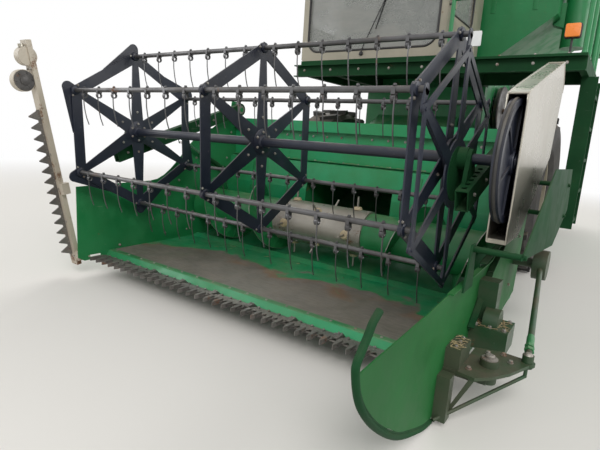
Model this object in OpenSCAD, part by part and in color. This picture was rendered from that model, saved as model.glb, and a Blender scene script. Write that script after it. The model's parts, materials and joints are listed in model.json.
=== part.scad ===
// Combine harvester with a cab, a pick-up reel and an extended grain table.
// X runs across the machine (plus is its left side), Y to the rear and Z up.
// Machine sizes count from the centreline, the guard tips and the ground.

/* [Header] */
// Inner width between the side walls
header_w = 2740; // [2600:10:2900]
// Thickness of the header's sheet
header_t = 6; // [4:1:10]
// Height of the knife above the ground
knife_z = 150; // [130:1:200]
// Rear end of the flat table, from the guard tips
table_y = 1130; // [1080:10:1180]
// Height of the table floor's upper face
table_z = 171; // [165:1:200]
// Height of the right wall's front edge
wall_front_right = 690; // [600:10:760]
// Height of the left wall's front edge
wall_front_left = 580; // [520:10:640]
// Height of the ears at the rear of the walls
wall_ear_z = 1450; // [1440:5:1500]
// Front face of the header's back sheet
back_y = 1520; // [1512:1:1540]
// Height of the back's cross tube
back_tube_z = 1250; // [1200:5:1255]
// Side of the back's square cross tube
back_tube = 90; // [70:5:100]
// Width of the opening to the feeder
throat_w = 820; // [700:10:900]
// Height of the top of the opening to the feeder
throat_z = 760; // [720:10:800]
// How far the crop divider reaches ahead of the guard tips
nose_reach = 838; // [700:1:850]

/* [Cutter bar] */
// Pitch of the knife guards and of the knife sections
guard_pitch = 76.2; // [74:0.1:78]
// Number of knife guards
guard_n = 35; // [20:1:35]
// Length of a guard
guard_l = 150; // [140:1:160]
// Height of a guard
guard_h = 26; // [22:1:30]
// Thickness of the knife sections
section_t = 3; // [2:0.5:3.5]
// Running gap above and below the knife
knife_gap = 0.5; // [0.3:0.1:0.8]
// Front edge of the knife, behind the guard tips
knife_y = 34; // [30:1:40]
// Rear edge of the knife bar
knife_y1 = 130; // [125:1:135]

/* [Auger] */
// Distance of the auger's axis behind the guard tips
auger_y = 1220; // [1210:5:1225]
// Height of the auger's axis
auger_z = 470; // [465:5:490]
// Radius of the auger tube
auger_r = 160; // [140:5:180]
// Outer radius of the auger flights
flight_r = 270; // [250:5:275]
// Thickness of a flight
flight_t = 6; // [4:1:8]
// Pitch of a flight
flight_pitch = 520; // [440:10:600]
// Half the length of the finger drum
drum_half = 400; // [380:10:420]
// Radius of the finger drum
drum_r = 172; // [168:1:185]
// Gap between the flights and the trough
trough_gap = 22; // [18:1:26]
// Radius of a finger
finger_r = 8; // [6:1:10]

/* [Reel] */
// Distance of the reel's axis behind the guard tips
reel_y = 387; // [380:1:400]
// Height of the reel's axis
reel_z = 1107; // [1090:1:1130]
// Radius from the reel's axis to its tine bars
reel_r = 554; // [540:1:560]
// Turn of the first bar forward from the top, in degrees
reel_phase = 2.3; // [0:0.1:10]
// Middle of the reel from the machine's centreline
reel_x = -43; // [-45:1:-40]
// Half the distance between the outer spiders
spider_half = 1207; // [1200:1:1210]
// Middle spider from the machine's centreline
mid_spider_x = 2; // [-20:1:20]
// Thickness of the spider plates
spider_t = 8; // [6:1:10]
// Width of the spider's ring plates
ring_w = 72; // [50:1:80]
// Radius of a tine bar
bar_r = 14; // [12:1:18]
// Length of a tine's leg below its coil
tine_l = 190; // [150:5:210]
// Outer radius of a tine's coil
coil_r = 18; // [14:1:20]
// Spacing of the tines along a bar
tine_step = 165; // [150:5:175]
// Number of tines on a bar between two spiders
tine_n = 7; // [5:1:7]
// Radius of a tine's wire
tine_r = 4; // [3:0.5:5]
// Radius of the reel's centre tube
reel_tube_r = 28; // [26:1:50]
// Radius of the reel shaft's ends
reel_shaft_r = 25; // [20:1:26]
// Drop of the tine control's axis below the reel's axis
control_drop = 75; // [60:1:80]
// Distance of the tine control's axis ahead of the reel's axis
control_ahead = 20; // [10:1:25]
// Radius of the fixed control disc
control_disc_r = 130; // [126:1:140]
// Radius of a crank pin on the tine bars
crank_pin_r = 8; // [6:1:10]
// Radius of the reel's drive pulley
pulley_r = 275; // [260:5:280]
// Width of the reel's drive pulley
pulley_w = 36; // [30:1:50]
// Middle of the reel's drive pulley
pulley_x = 1446; // [1440:1:1448]

/* [Reel arms] */
// Pivot of the reel arms behind the guard tips
arm_pivot_y = 1600; // [1590:1:1610]
// Height of the reel arms' pivot
arm_pivot_z = 1375; // [1370:1:1385]
// Slope of the reel arms, in degrees
arm_slope = 18.6; // [18:0.1:19]
// Length of the reel arms
arm_l = 1430; // [1380:5:1450]
// Width of a reel arm
arm_w = 60; // [50:1:60]
// Height of a reel arm
arm_h = 100; // [80:1:100]
// Inner face of the right reel arm from the centreline
arm_right_x = 1292; // [1290:1:1295]
// Inner face of the left reel arm from the centreline
arm_left_x = 1266; // [1264:1:1270]
// Radius of the arms' pivot pins
arm_pin_r = 20; // [16:1:22]

/* [Side knife] */
// Middle of the side knife's post outside the right wall
post_off = 76; // [70:1:90]
// Width of the post
post_w = 80; // [60:1:90]
// Depth of the post
post_d = 34; // [28:1:40]
// Length of the post
post_l = 1600; // [1500:10:1700]
// Forward lean of the post, in degrees
post_lean = 10.8; // [8:0.1:12]
// Height of the post's foot
post_z = 90; // [85:1:100]
// Number of teeth on the side knife
side_teeth = 14; // [10:1:14]

/* [Feeder] */
// Height of the feeder's pivot
feeder_pivot_z = 1395; // [1380:5:1410]
// Width of the feeder housing
feeder_w = 860; // [840:10:900]
// Depth of the feeder housing at its rear end
feeder_d = 465; // [430:5:480]
// Thickness of the feeder's walls
feeder_t = 10; // [6:1:12]
// Radius of the feeder's pivot pins
feeder_pin_r = 25; // [20:1:30]

/* [Body] */
// Front face of the threshing body behind the guard tips
body_y = 3000; // [2995:5:3005]
// Rear face of the threshing body
body_y1 = 6450; // [6440:10:6600]
// Width of the threshing body
body_w = 1280; // [1240:10:1300]
// Height of the body's top
body_z = 2040; // [2035:5:2050]
// Rear end of the straw hood
hood_y = 7200; // [7000:10:7300]
// Thickness of the straw hood's sheet
hood_t = 8; // [6:1:12]
// Width of the grain tank
tank_w = 2300; // [2200:10:2304]
// Front face of the grain tank
tank_y = 3160; // [3140:10:3200]
// Rear face of the grain tank
tank_y1 = 4960; // [4900:10:4980]
// Height of the grain tank's rim
tank_z = 3150; // [3050:10:3200]
// Thickness of the grain tank's walls
tank_t = 12; // [8:1:20]

/* [Wheels] */
// Distance of the front axle behind the guard tips
front_axle_y = 3100; // [3095:5:3110]
// Outer radius of the front tyres at the lug corners
front_r = 750; // [720:5:760]
// Width of the front tyres
front_w = 460; // [420:5:470]
// Distance of a front wheel's middle from the centreline
front_track = 1100; // [1095:5:1110]
// Height of the front tyres' lugs
lug_h = 38; // [30:1:45]
// Number of lugs on each side of a front tyre
lug_n = 20; // [16:1:22]
// Distance of the rear axle behind the guard tips
rear_axle_y = 6000; // [5980:5:6020]
// Outer radius of the rear tyres
rear_r = 440; // [420:5:450]
// Width of the rear tyres
rear_w = 290; // [260:5:300]
// Distance of a rear wheel's middle from the centreline
rear_track = 900; // [890:5:920]
// Distance of the king pins from the centreline
king_x = 690; // [680:5:700]
// Radius of the tow hitch's pin hole
hitch_r = 16; // [12:1:25]

/* [Cab] */
// Middle of the cab from the centreline
cab_x = -235; // [-240:1:-230]
// Width of the cab
cab_w = 1450; // [1400:10:1460]
// Front face of the cab behind the guard tips
cab_y = 2100; // [2090:10:2120]
// Rear face of the cab
cab_y1 = 3080; // [3060:10:3100]
// Height of the cab floor's upper face
cab_z = 1900; // [1890:5:1920]
// Height of the cab walls' top
cab_z1 = 3380; // [3300:10:3420]
// Thickness of the cab walls and the door
cab_t = 40; // [30:1:50]
// Thickness of the window glass
glass_t = 6; // [4:1:8]
// Rear edge of the cab door
door_y1 = 2860; // [2840:10:2880]
// Left edge of the platform
platform_x = 1540; // [1520:10:1560]

/* [Unloader] */
// Distance of the unloader's turning axis from the centreline
unloader_x = 1280; // [1276:1:1290]
// Turning axis of the unloader behind the guard tips
unloader_y = 3420; // [3400:10:3440]
// Radius of the unloader tube
unloader_r = 110; // [90:5:115]
// Height of the unloader tube's axis
unloader_z = 2880; // [2860:10:2900]
// Length of the unloader tube
unloader_l = 3300; // [2800:50:3500]

/* [Hidden] */
$fn = 72;
run = 0.3;
clear = 5;
half = header_w / 2;
wall_x1 = half + header_t;
post_x = -(wall_x1 + post_off);
trough_r = flight_r + trough_gap;
lever_x1 = 1690;
side_x0 = post_x - post_w / 2;
origin = [(lever_x1 + side_x0) / 2, (hood_y - nose_reach) / 2, 0];
front_z = sqrt(pow(front_r, 2) - pow(lug_len() / 2, 2));
reel_x0 = reel_x - spider_half;
reel_x1 = reel_x + spider_half;
control_y = reel_y - control_ahead;
control_z = reel_z - control_drop;
crank_x = reel_x1 + 40;
star_x = crank_x + 12;
slot_z0 = knife_z - section_t / 2 - knife_gap;
slot_z1 = knife_z + section_t / 2 + knife_gap;
bar_top = knife_z - guard_h / 2;
arm_pivot = [arm_pivot_y, arm_pivot_z];
feeder_pivot = [body_y - 15, feeder_pivot_z];
lift_base = [2980, 600];
lift_eye = [2100, 430];
lift_x = 300;
reel_ram_base = [1400, 800];
reel_ram_eye = [900, 1050];
ram_neck = 65;
ram_floor = 80;
belly = [[body_y1, 1150], [5900, 1050], [5200, 760], [4300, 720], [3600, 870], [body_y, 930]];
belly_table = [for (i = [len(belly) - 1:-1:0]) belly[i]];
nose_bar_r = 12;
nose_edge = [for (p = [[-0.854, 707], [-0.9, 683], [-0.933, 649], [-0.973, 612], [-0.994, 590], [-1, 555],
    [-0.968, 470], [-0.901, 387], [-0.764, 276], [-0.543, 147], [-0.242, 41], [-0.092, 12]])
    [p[0] * nose_reach, p[1]]];
cab_x0 = cab_x - cab_w / 2;
cab_x1 = cab_x + cab_w / 2;
hinge_x = cab_x1 + 12;
hinge_y = door_y1 + clear / 2;
hinge_z = [cab_z + 150, cab_z1 - 250];

green = "#2f8f3e";
dark_green = "#23552f";
olive = "#5c7434";
steel = "#5d5f60";
dark_steel = "#2b2e35";
rubber = "#222222";
galvanised = "#b9b6ab";
cream = "#b7b09a";

// Puts a piece drawn in machine sizes into the part's own frame.
module placed() {
    translate(-origin) children();
}

// Extrudes an outline in Y and Z from x0 to x1.
module along_x(x0, x1) {
    translate([x0, 0, 0]) rotate([90, 0, 90]) linear_extrude(x1 - x0) children();
}

// Extrudes an outline in X and Z from y0 to y1.
module along_y(y0, y1) {
    translate([0, y1, 0]) rotate([90, 0, 0]) linear_extrude(y1 - y0) children();
}

// Extrudes an outline in X and Y from z0 to z1.
module along_z(z0, z1) {
    translate([0, 0, z0]) linear_extrude(z1 - z0) children();
}

// A box between two corners.
module block(a, b) {
    translate(a) cube(b - a);
}

// A round bar between two points.
module rod(a, b, r) {
    d = b - a;
    translate(a) rotate([0, acos(d[2] / norm(d)), atan2(d[1], d[0])]) cylinder(r = r, h = norm(d));
}

// A round bar through a list of points, with slightly fuller ball corners.
module bent_rod(points, r) {
    for (i = [0:len(points) - 2]) rod(points[i], points[i + 1], r);
    for (i = [1:len(points) - 2]) translate(points[i]) sphere(r * 1.08);
}

// A cylinder about an axis along X, at a point in Y and Z.
module disc(p, r, x0, x1) {
    translate([x0, p[0], p[1]]) rotate([0, 90, 0]) cylinder(r = r, h = x1 - x0);
}

// A rectangle with round corners between two corners.
module round_rect(a, b, r) {
    translate([a[0] + r, a[1]]) square([b[0] - a[0] - 2 * r, b[1] - a[1]]);
    translate([a[0], a[1] + r]) square([b[0] - a[0], b[1] - a[1] - 2 * r]);
    for (x = [a[0] + r, b[0] - r], y = [a[1] + r, b[1] - r]) translate([x, y]) circle(r);
}

// Outline of a bent sheet of thickness t whose middle follows the points.
function side_of(a, b) = let (d = (b - a) / norm(b - a)) [-d[1], d[0]];
function mitre(p, i) =
    i == 0 ? side_of(p[0], p[1]) :
    i == len(p) - 1 ? side_of(p[i - 1], p[i]) :
    let (m = side_of(p[i - 1], p[i]) + side_of(p[i], p[i + 1])) m * 2 / (m * m);
function sheet(p, t) = concat(
    [for (i = [0:len(p) - 1]) p[i] + mitre(p, i) * t / 2],
    [for (i = [len(p) - 1:-1:0]) p[i] - mitre(p, i) * t / 2]);

// Height of the body's underside at a distance behind the guard tips.
function belly_z(y) = lookup(y, belly_table);

// Threshing body: the closed side profile of the machine's main housing.
module separator_body() {
    color(green) difference() {
        along_x(-body_w / 2, body_w / 2)
            polygon(concat([[body_y, cab_z - 150], [cab_y1 + 10, cab_z - 150], [cab_y1 + 10, body_z],
                [body_y1, body_z]], belly));
        along_x(-feeder_w / 2, feeder_w / 2)
            polygon([[body_y - 1, 950], [body_y - 1, 1380], [body_y + 260, 1500], [body_y + 200, 1000]]);
        disc(feeder_pivot, feeder_pin_r + run, -feeder_w / 2 - 45, feeder_w / 2 + 45);
    }
    color(green) for (s = [-1, 1]) difference() {
        translate([s * (feeder_w / 2 + 30), 0, 0]) along_x(-10, 10) union() {
            translate(feeder_pivot) circle(60);
            translate([feeder_pivot[0], feeder_pivot[1] - 60])
                square([body_y - feeder_pivot[0] + 1, 120]);
        }
        disc(feeder_pivot, feeder_pin_r + run, -body_w, body_w);
    }
}

// Hollow straw hood at the rear, open below and to the rear.
module straw_hood() {
    outer = [[body_y1, 1150], [body_y1, body_z], [hood_y - 250, body_z - 60], [hood_y, 1500],
        [hood_y, 1000], [hood_y - 120, 900]];
    color(green) difference() {
        along_x(-body_w / 2, body_w / 2) polygon(outer);
        along_x(-body_w / 2 + hood_t, body_w / 2 - hood_t)
            polygon([[body_y1 + hood_t, 1100], [body_y1 + hood_t, body_z - 10],
                [hood_y - 250 - hood_t, body_z - 68], [hood_y - hood_t, 1500 - 10],
                [hood_y - hood_t, 1000 - 100], [hood_y - 120, 800]]);
    }
}

// Hollow grain tank with sloped lower sides and an open top.
module grain_tank() {
    w = tank_w / 2;
    color(green) difference() {
        along_y(tank_y, tank_y1)
            polygon([[-body_w / 2, body_z], [-w, 2420], [-w, tank_z], [w, tank_z], [w, 2420],
                [body_w / 2, body_z]]);
        along_y(tank_y + tank_t, tank_y1 - tank_t)
            polygon([[-body_w / 2 + tank_t, body_z + tank_t], [-w + tank_t, 2420 + tank_t / 2],
                [-w + tank_t, tank_z + 1], [w - tank_t, tank_z + 1],
                [w - tank_t, 2420 + tank_t / 2], [body_w / 2 - tank_t, body_z + tank_t]]);
    }
    color(green) {
        translate([unloader_x, unloader_y, 2150])
            cylinder(r = unloader_r, h = unloader_z - 2150 - unloader_r - run);
        along_y(unloader_y - 60, unloader_y + 60)
            polygon([[w, 2420], [w, 2560], [unloader_x, 2560], [unloader_x, 2300], [w - 60, 2370]]);
    }
}

// Plain block for the engine's mass.
module engine_block() {
    w = 660;
    l = 900;
    h = 600;
    y0 = 5080;
    color(steel) block([-w / 2, y0, body_z], [w / 2, y0 + l, body_z + h]);
}

// Engine hood over the engine, with grille slots in its sides, and the exhaust.
module engine_hood() {
    x = 560;
    y0 = 5000;
    y1 = 6300;
    z1 = 2780;
    color(green) difference() {
        along_y(y0, y1) round_rect([-x, body_z], [x, z1], 60);
        along_y(y0 + 10, y1 - 10) union() {
            round_rect([-x + 10, body_z], [x - 10, z1 - 10], 50);
            translate([-x + 10, body_z - 1]) square([2 * x - 20, 100]);
        }
        for (s = [-1, 1], i = [0:9])
            block([s * x - 20, y0 + 120 + i * 80, 2250], [s * x + 20, y0 + 160 + i * 80, 2620]);
    }
    color(steel) translate([330, y0 + 250, z1 - 5]) {
        cylinder(r = 70, h = 320);
        cylinder(r = 35, h = 520);
    }
}

// Length of a tyre lug along the tread.
function lug_len() = 110;

// Ring profile of a tyre of outer radius r, width w and bead radius b.
module tyre_body(r, w, b) {
    rotate([0, 90, 0]) rotate_extrude()
        polygon([[b, -w * 0.34], [b + 40, -w * 0.42], [(r + b) / 2, -w / 2],
            [r - 60, -w * 0.47], [r - 8, -w * 0.36], [r, -w * 0.2], [r, w * 0.2],
            [r - 8, w * 0.36], [r - 60, w * 0.47], [(r + b) / 2, w / 2], [b + 40, w * 0.42],
            [b, w * 0.34]]);
}

// Front tyre with its two rows of slanted lugs.
module front_tyre(x) {
    color(rubber) translate([x, front_axle_y, front_z]) {
        tyre_body(front_r - lug_h, front_w, 400);
        for (i = [0:lug_n - 1], s = [-1, 1]) {
            rotate([(i + (s > 0 ? 0.5 : 0)) * 360 / lug_n + 180, 0, 0])
                along_z(front_r - lug_h - 14, front_z)
                    polygon([[s * 8, -lug_len() / 2], [s * 8, -lug_len() / 2 + 44],
                        [s * front_w * 0.42, lug_len() / 2], [s * front_w * 0.42, lug_len() / 2 - 52]]);
        }
    }
}

// Wheel rim with its disc and hub bore.
module rim(x, p, b, w, bore, s) {
    color(cream) translate([x, p[0], p[1]]) scale([s, 1, 1]) rotate([0, 90, 0]) rotate_extrude()
        polygon([[bore, -60], [bore + 70, -60], [bore + 70, 20], [b - 60, 60], [b - 40, -w / 2],
            [b - run, -w / 2], [b - run, w / 2], [b - 40, w / 2], [b - 44, 80], [b - 62, 78],
            [bore + 60, 40], [bore, 40]]);
}

// Rear tyre with circumferential ribs.
module rear_tyre(x) {
    color(rubber) translate([x, rear_axle_y, rear_r]) difference() {
        tyre_body(rear_r, rear_w, 220);
        for (g = [-36, 0, 36]) rotate([0, 90, 0]) translate([0, 0, g - 5]) difference() {
            cylinder(r = rear_r + 5, h = 10);
            translate([0, 0, -1]) cylinder(r = rear_r - 14, h = 12);
        }
    }
}

// Front axle beam with its spindles, brackets and the lift cylinders' pin.
module front_axle() {
    color(dark_green) {
        along_x(-front_track + 160, front_track - 160)
            translate([front_axle_y - 90, front_z - 80]) square([180, 160]);
        for (s = [-1, 1]) {
            disc([front_axle_y, front_z], 60, s > 0 ? front_track - 200 : -front_track - 50,
                s > 0 ? front_track + 50 : -front_track + 200);
            translate([s * 560, 0, 0]) along_x(-40, 40)
                polygon([[front_axle_y - 90, front_z + 79], [front_axle_y + 90, front_z + 79],
                    [front_axle_y + 90, belly_z(front_axle_y + 90) - run],
                    [front_axle_y - 90, belly_z(front_axle_y - 90) - run]]);
        }
        for (s = [-1, 1], x = [-34, 22])
            translate([s * lift_x + x, 0, 0]) along_x(0, 12)
                polygon([[lift_base[0] - 40, lift_base[1] - 40], [lift_base[0] - 40, lift_base[1] + 40],
                    [front_axle_y - 60, front_z - 80], [front_axle_y + 60, front_z - 80]]);
        for (s = [-1, 1]) disc(lift_base, 18, s * lift_x - 40, s * lift_x + 40);
    }
}

// Rear axle beam on its post, with the forks and king pins.
module rear_axle() {
    color(dark_green) {
        block([-king_x + 76, rear_axle_y - 60, 430], [king_x - 76, rear_axle_y + 60, 530]);
        along_x(-160, 160) polygon([[rear_axle_y - 90, 529], [rear_axle_y + 90, 529],
            [rear_axle_y + 90, belly_z(rear_axle_y + 90) - run],
            [rear_axle_y - 90, belly_z(rear_axle_y - 90) - run]]);
        block([-50, rear_axle_y + 89, 690], [50, rear_axle_y + 560, 770]);
        difference() {
            union() for (z = [690, 754]) translate([0, rear_axle_y + 640, z]) {
                cylinder(r = 50, h = 16);
                block([-50, -81, 0], [50, 0, 16]);
            }
            translate([0, rear_axle_y + 640, 680]) cylinder(r = hitch_r, h = 100);
        }
        for (s = [-1, 1]) translate([s * king_x, rear_axle_y, 0]) {
            for (z = [375, 560]) {
                translate([0, 0, z]) cylinder(r = 45, h = 25);
                block([min(0, -s * 80), -30, z], [max(0, -s * 80), 30, z + 25]);
            }
            translate([0, 0, 375]) cylinder(r = 20, h = 210);
            block([min(-s * 58, -s * 100), -30, 375], [max(-s * 58, -s * 100), 30, 585]);
        }
    }
}

// Steering knuckle with its spindle and steering arm.
module knuckle(s) {
    color(dark_green) translate([s * king_x, rear_axle_y, 0]) difference() {
        union() {
            translate([0, 0, 406]) cylinder(r = 42, h = 148);
            translate([0, 0, rear_r]) rotate([0, s * 90, 0]) cylinder(r = 34, h = rear_track - king_x + 35);
            block([-18, 20, 440], [18, 180, 468]);
            translate([0, 180, 440]) cylinder(r = 26, h = 28);
        }
        translate([0, 0, 400]) cylinder(r = 20 + run, h = 200);
    }
}

// The tie rod behind the rear axle, its eyes on the steering arms.
module tie_rod() {
    color(steel) {
        rod([-king_x, rear_axle_y + 180, 492], [king_x, rear_axle_y + 180, 492], 15);
        for (s = [-1, 1]) translate([s * king_x, rear_axle_y + 180, 468 + run]) cylinder(r = 25, h = 44);
    }
}

// Cab floor.
module cab_floor() {
    color(dark_green) block([cab_x0, cab_y, cab_z - 50], [cab_x1, cab_y1, cab_z]);
}

// Cab roof with its overhang at the front.
module cab_roof() {
    color(cream) along_x(cab_x0 - 20, cab_x1 + 20)
        polygon([[cab_y - 120, cab_z1], [cab_y - 120, cab_z1 + 50], [cab_y - 60, cab_z1 + 90],
            [cab_y1, cab_z1 + 90], [cab_y1 + 20, cab_z1 + 60], [cab_y1 + 20, cab_z1]]);
}

// Front frame of the cab, around the windscreen.
module cab_front() {
    color(cream) along_y(cab_y, cab_y + cab_t) difference() {
        round_rect([cab_x0, cab_z], [cab_x1, cab_z1], 20);
        round_rect([cab_x0 + 70, cab_z + 80], [cab_x1 - 70, cab_z1 - 70], 120);
    }
}

// Right side wall of the cab with its window.
module cab_right() {
    color(cream) along_x(cab_x0, cab_x0 + cab_t) difference() {
        translate([cab_y + cab_t, cab_z]) square([cab_y1 - cab_y - 2 * cab_t, cab_z1 - cab_z]);
        round_rect([cab_y + cab_t + 60, cab_z + 350], [cab_y1 - cab_t - 90, cab_z1 - 80], 60);
    }
}

// Half of a door hinge: its barrel and the leaf on the post or on the door.
module door_hinge(z, s) {
    translate([hinge_x, hinge_y, z]) cylinder(r = 12, h = 45);
    block([hinge_x - 12, min(hinge_y, hinge_y + s * 50), z],
        [hinge_x - 8, max(hinge_y, hinge_y + s * 50), z + 45]);
}

// Rear wall of the cab with its window and the post behind the door.
module cab_rear() {
    color(cream) {
        along_y(cab_y1 - cab_t, cab_y1) difference() {
            translate([cab_x0, cab_z]) square([cab_w, cab_z1 - cab_z]);
            round_rect([cab_x0 + 120, cab_z + 600], [cab_x1 - 120, cab_z1 - 120], 60);
        }
        block([cab_x1 - cab_t, door_y1 + clear, cab_z], [cab_x1, cab_y1 - cab_t, cab_z1]);
        for (z = hinge_z) door_hinge(z + 45 + run, 1);
    }
}

// Panes of the cab: windscreen, right side and rear.
module cab_glass() {
    g = (cab_t - glass_t) / 2;
    color("#9fb4b0", 0.4) {
        along_y(cab_y + g, cab_y + g + glass_t)
            round_rect([cab_x0 + 70 + run, cab_z + 80 + run], [cab_x1 - 70 - run, cab_z1 - 70 - run], 120);
        along_x(cab_x0 + g, cab_x0 + g + glass_t)
            round_rect([cab_y + cab_t + 60 + run, cab_z + 350 + run],
                [cab_y1 - cab_t - 90 - run, cab_z1 - 80 - run], 60);
        along_y(cab_y1 - g - glass_t, cab_y1 - g)
            round_rect([cab_x0 + 120 + run, cab_z + 600 + run], [cab_x1 - 120 - run, cab_z1 - 120 - run], 60);
    }
}

// Driver's seat on its pedestal.
module cab_seat() {
    y0 = cab_y + 380;
    h = 300;
    color("#333333") translate([cab_x, y0, cab_z]) {
        block([-180, 80, 0], [180, 380, h]);
        along_x(-240, 240) polygon([[0, h], [0, h + 100], [20, h + 130], [360, h + 100],
            [440, h + 650], [500, h + 660], [520, h + 600], [450, h]]);
    }
}

// Steering column, its wheel and the control console.
module steering_column() {
    a = [cab_x, 2230, cab_z];
    b = [cab_x, 2330, cab_z + 690];
    color(dark_steel) {
        translate(a) cylinder(r = 55, h = 30);
        rod(a + [0, 0, 15], b, 35);
        translate(b) rotate([-20, 0, 0]) {
            rotate_extrude() translate([200, 0]) circle(14);
            for (i = [0:2]) rotate(i * 120 + 30) translate([0, -12, -5]) cube([200, 24, 10]);
            cylinder(r = 40, h = 16);
        }
        block([cab_x1 - 300, 2340, cab_z], [cab_x1 - 130, 2800, cab_z + 620]);
    }
}

// Cab door frame; its outer face lies flush with the cab's left side.
module cab_door() {
    color(cream) along_x(cab_x1 - cab_t, cab_x1) difference() {
        translate([cab_y + cab_t + clear, cab_z + clear])
            square([door_y1 - cab_y - cab_t - clear, cab_z1 - cab_z - 2 * clear]);
        round_rect([cab_y + cab_t + 70, cab_z + 350], [door_y1 - 70, cab_z1 - 90], 60);
    }
    color(cream) for (z = hinge_z) door_hinge(z, -1);
    color(dark_steel) block([cab_x1, cab_y + 90, cab_z + 380], [cab_x1 + 30, cab_y + 110, cab_z + 560]);
}

// Pane of the cab door.
module door_glass() {
    g = (cab_t - glass_t) / 2;
    color("#9fb4b0", 0.4) along_x(cab_x1 - g - glass_t, cab_x1 - g)
        round_rect([cab_y + cab_t + 70 + run, cab_z + 350 + run],
            [door_y1 - 70 - run, cab_z1 - 90 - run], 60);
}

// Platform that carries the cab: front channel, long beams and the walking deck.
module platform() {
    z = cab_z - 50;
    color(dark_green) {
        along_x(cab_x0 - 20, platform_x) difference() {
            translate([cab_y - 90, z - 110]) square([60, 110]);
            translate([cab_y - 91, z - 100]) square([51, 90]);
        }
        for (x = [cab_x0 + 60, -560, 250, 590])
            block([x, cab_y - 30, z - 100], [x + 50, cab_y1 + 9.7, z]);
        for (x = [cab_x0 + 60]) block([x, body_y - 140, z - 100], [-560, body_y - 90, z]);
        block([cab_x1 + 5, cab_y - 90, z], [platform_x, cab_y1 + 9.7, z + 8]);
        block([body_w / 2 + run, cab_y1 + 9, z], [platform_x, tank_y - 10, z + 8]);
        block([platform_x - 50, cab_y - 31, z - 100], [platform_x, tank_y - 10, z]);
        block([290, body_y - 140, z - 100], [platform_x - 40, body_y - 90, z]);
    }
}

// Railing tubes round the platform.
module railing() {
    z = cab_z - 42;
    x = platform_x - 25;
    y0 = cab_y - 65;
    y1 = tank_y - 40;
    color(green) {
        bent_rod([[cab_x1 + 60, y0, z], [cab_x1 + 60, y0, z + 900], [x, y0, z + 900], [x, y0, z]], 17);
        rod([cab_x1 + 60, y0, z + 450], [x, y0, z + 450], 14);
        bent_rod([[x, 2860, z], [x, 2860, z + 900], [x, y1, z + 900], [x, y1, z]], 17);
        rod([x, 2860, z + 450], [x, y1, z + 450], 14);
        rod([x, y0 + 330, z], [x, y0 + 330, z + 900], 17);
        rod([x, y0, z + 900], [x, y0 + 330, z + 900], 17);
    }
}

// Ladder from the platform down on the left.
module ladder() {
    z1 = cab_z - 50;
    x0 = platform_x - 45;
    color(dark_green) {
        for (y = [2410, 2790]) block([x0 - 4, y, 560], [x0 + 110, y + 24, z1 - 100 + (y > 0 ? 0 : 1)]);
        for (i = [0:4]) block([x0, 2433, 600 + i * 250], [x0 + 105, 2791, 625 + i * 250]);
    }
}

// Guards over the drives on both sides of the body.
module drive_guards() {
    color(green) for (s = [-1, 1]) {
        along_x(s > 0 ? body_w / 2 + 110 : -body_w / 2 - 118, s > 0 ? body_w / 2 + 118 : -body_w / 2 - 110)
            difference() {
                round_rect([4050, 1150], [5900, 1950], 120);
                for (i = [0:5]) round_rect([4250 + i * 260, 1500], [4400 + i * 260, 1850], 30);
            }
        for (y = [4150, 5780], z = [1250, 1850])
            disc([y, z], 20, s > 0 ? body_w / 2 : -body_w / 2 - 111, s > 0 ? body_w / 2 + 111 : -body_w / 2);
    }
}

// Belt pulleys on the body's sides, one belt run on each.
module belt_drives() {
    table = [[1, 3550, 1560, 250], [1, 4450, 1500, 170], [1, 5350, 1650, 210],
        [-1, 3650, 1500, 200], [-1, 4500, 1620, 150], [-1, 5450, 1500, 230]];
    color(dark_steel) for (p = table) {
        s = p[0];
        x = s * (body_w / 2 + 50);
        disc([p[1], p[2]], p[3], x - 22, x + 22);
        disc([p[1], p[2]], 30, s > 0 ? body_w / 2 : x - 40, s > 0 ? x + 40 : -body_w / 2);
    }
}

// Work lamps, beacon and mirrors on their stalks.
module lamps() {
    color(cream) for (x = [cab_x0 + 130, cab_x0 + 330, cab_x1 - 330, cab_x1 - 130])
        translate([x, cab_y - 120, cab_z1 - 55]) {
            rotate([90, 0, 0]) cylinder(r = 60, h = 70);
            block([-10, -30, 40], [10, 10, 55]);
        }
    color("orange") translate([cab_x0 + 150, cab_y1 - 200, cab_z1 + 90]) cylinder(r = 55, h = 120);
    color(dark_steel) for (s = [-1, 1]) {
        x = s > 0 ? cab_x1 : cab_x0;
        translate([x + s * 22.5, cab_y - 100, cab_z1 + 20]) {
            rod([0, 0, 0], [s * 272, -60, 0], 10);
            translate([s * 260, -60, -560]) cylinder(r = 9, h = 560);
            block([s * 260 - 90, -90, -520], [s * 260 + 90, -65, -180]);
        }
    }
}

// Unloading tube folded back along the tank's left side.
module unloader_tube() {
    color(green) translate([unloader_x, unloader_y, unloader_z]) {
        translate([0, 0, -unloader_r]) cylinder(r = unloader_r, h = 2 * unloader_r + 10);
        rotate([-90, 0, 0]) cylinder(r = unloader_r, h = unloader_l);
        translate([0, unloader_l - 60, 0]) rotate([180, 0, 0]) cylinder(r = unloader_r - 2, h = 260);
    }
}

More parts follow.
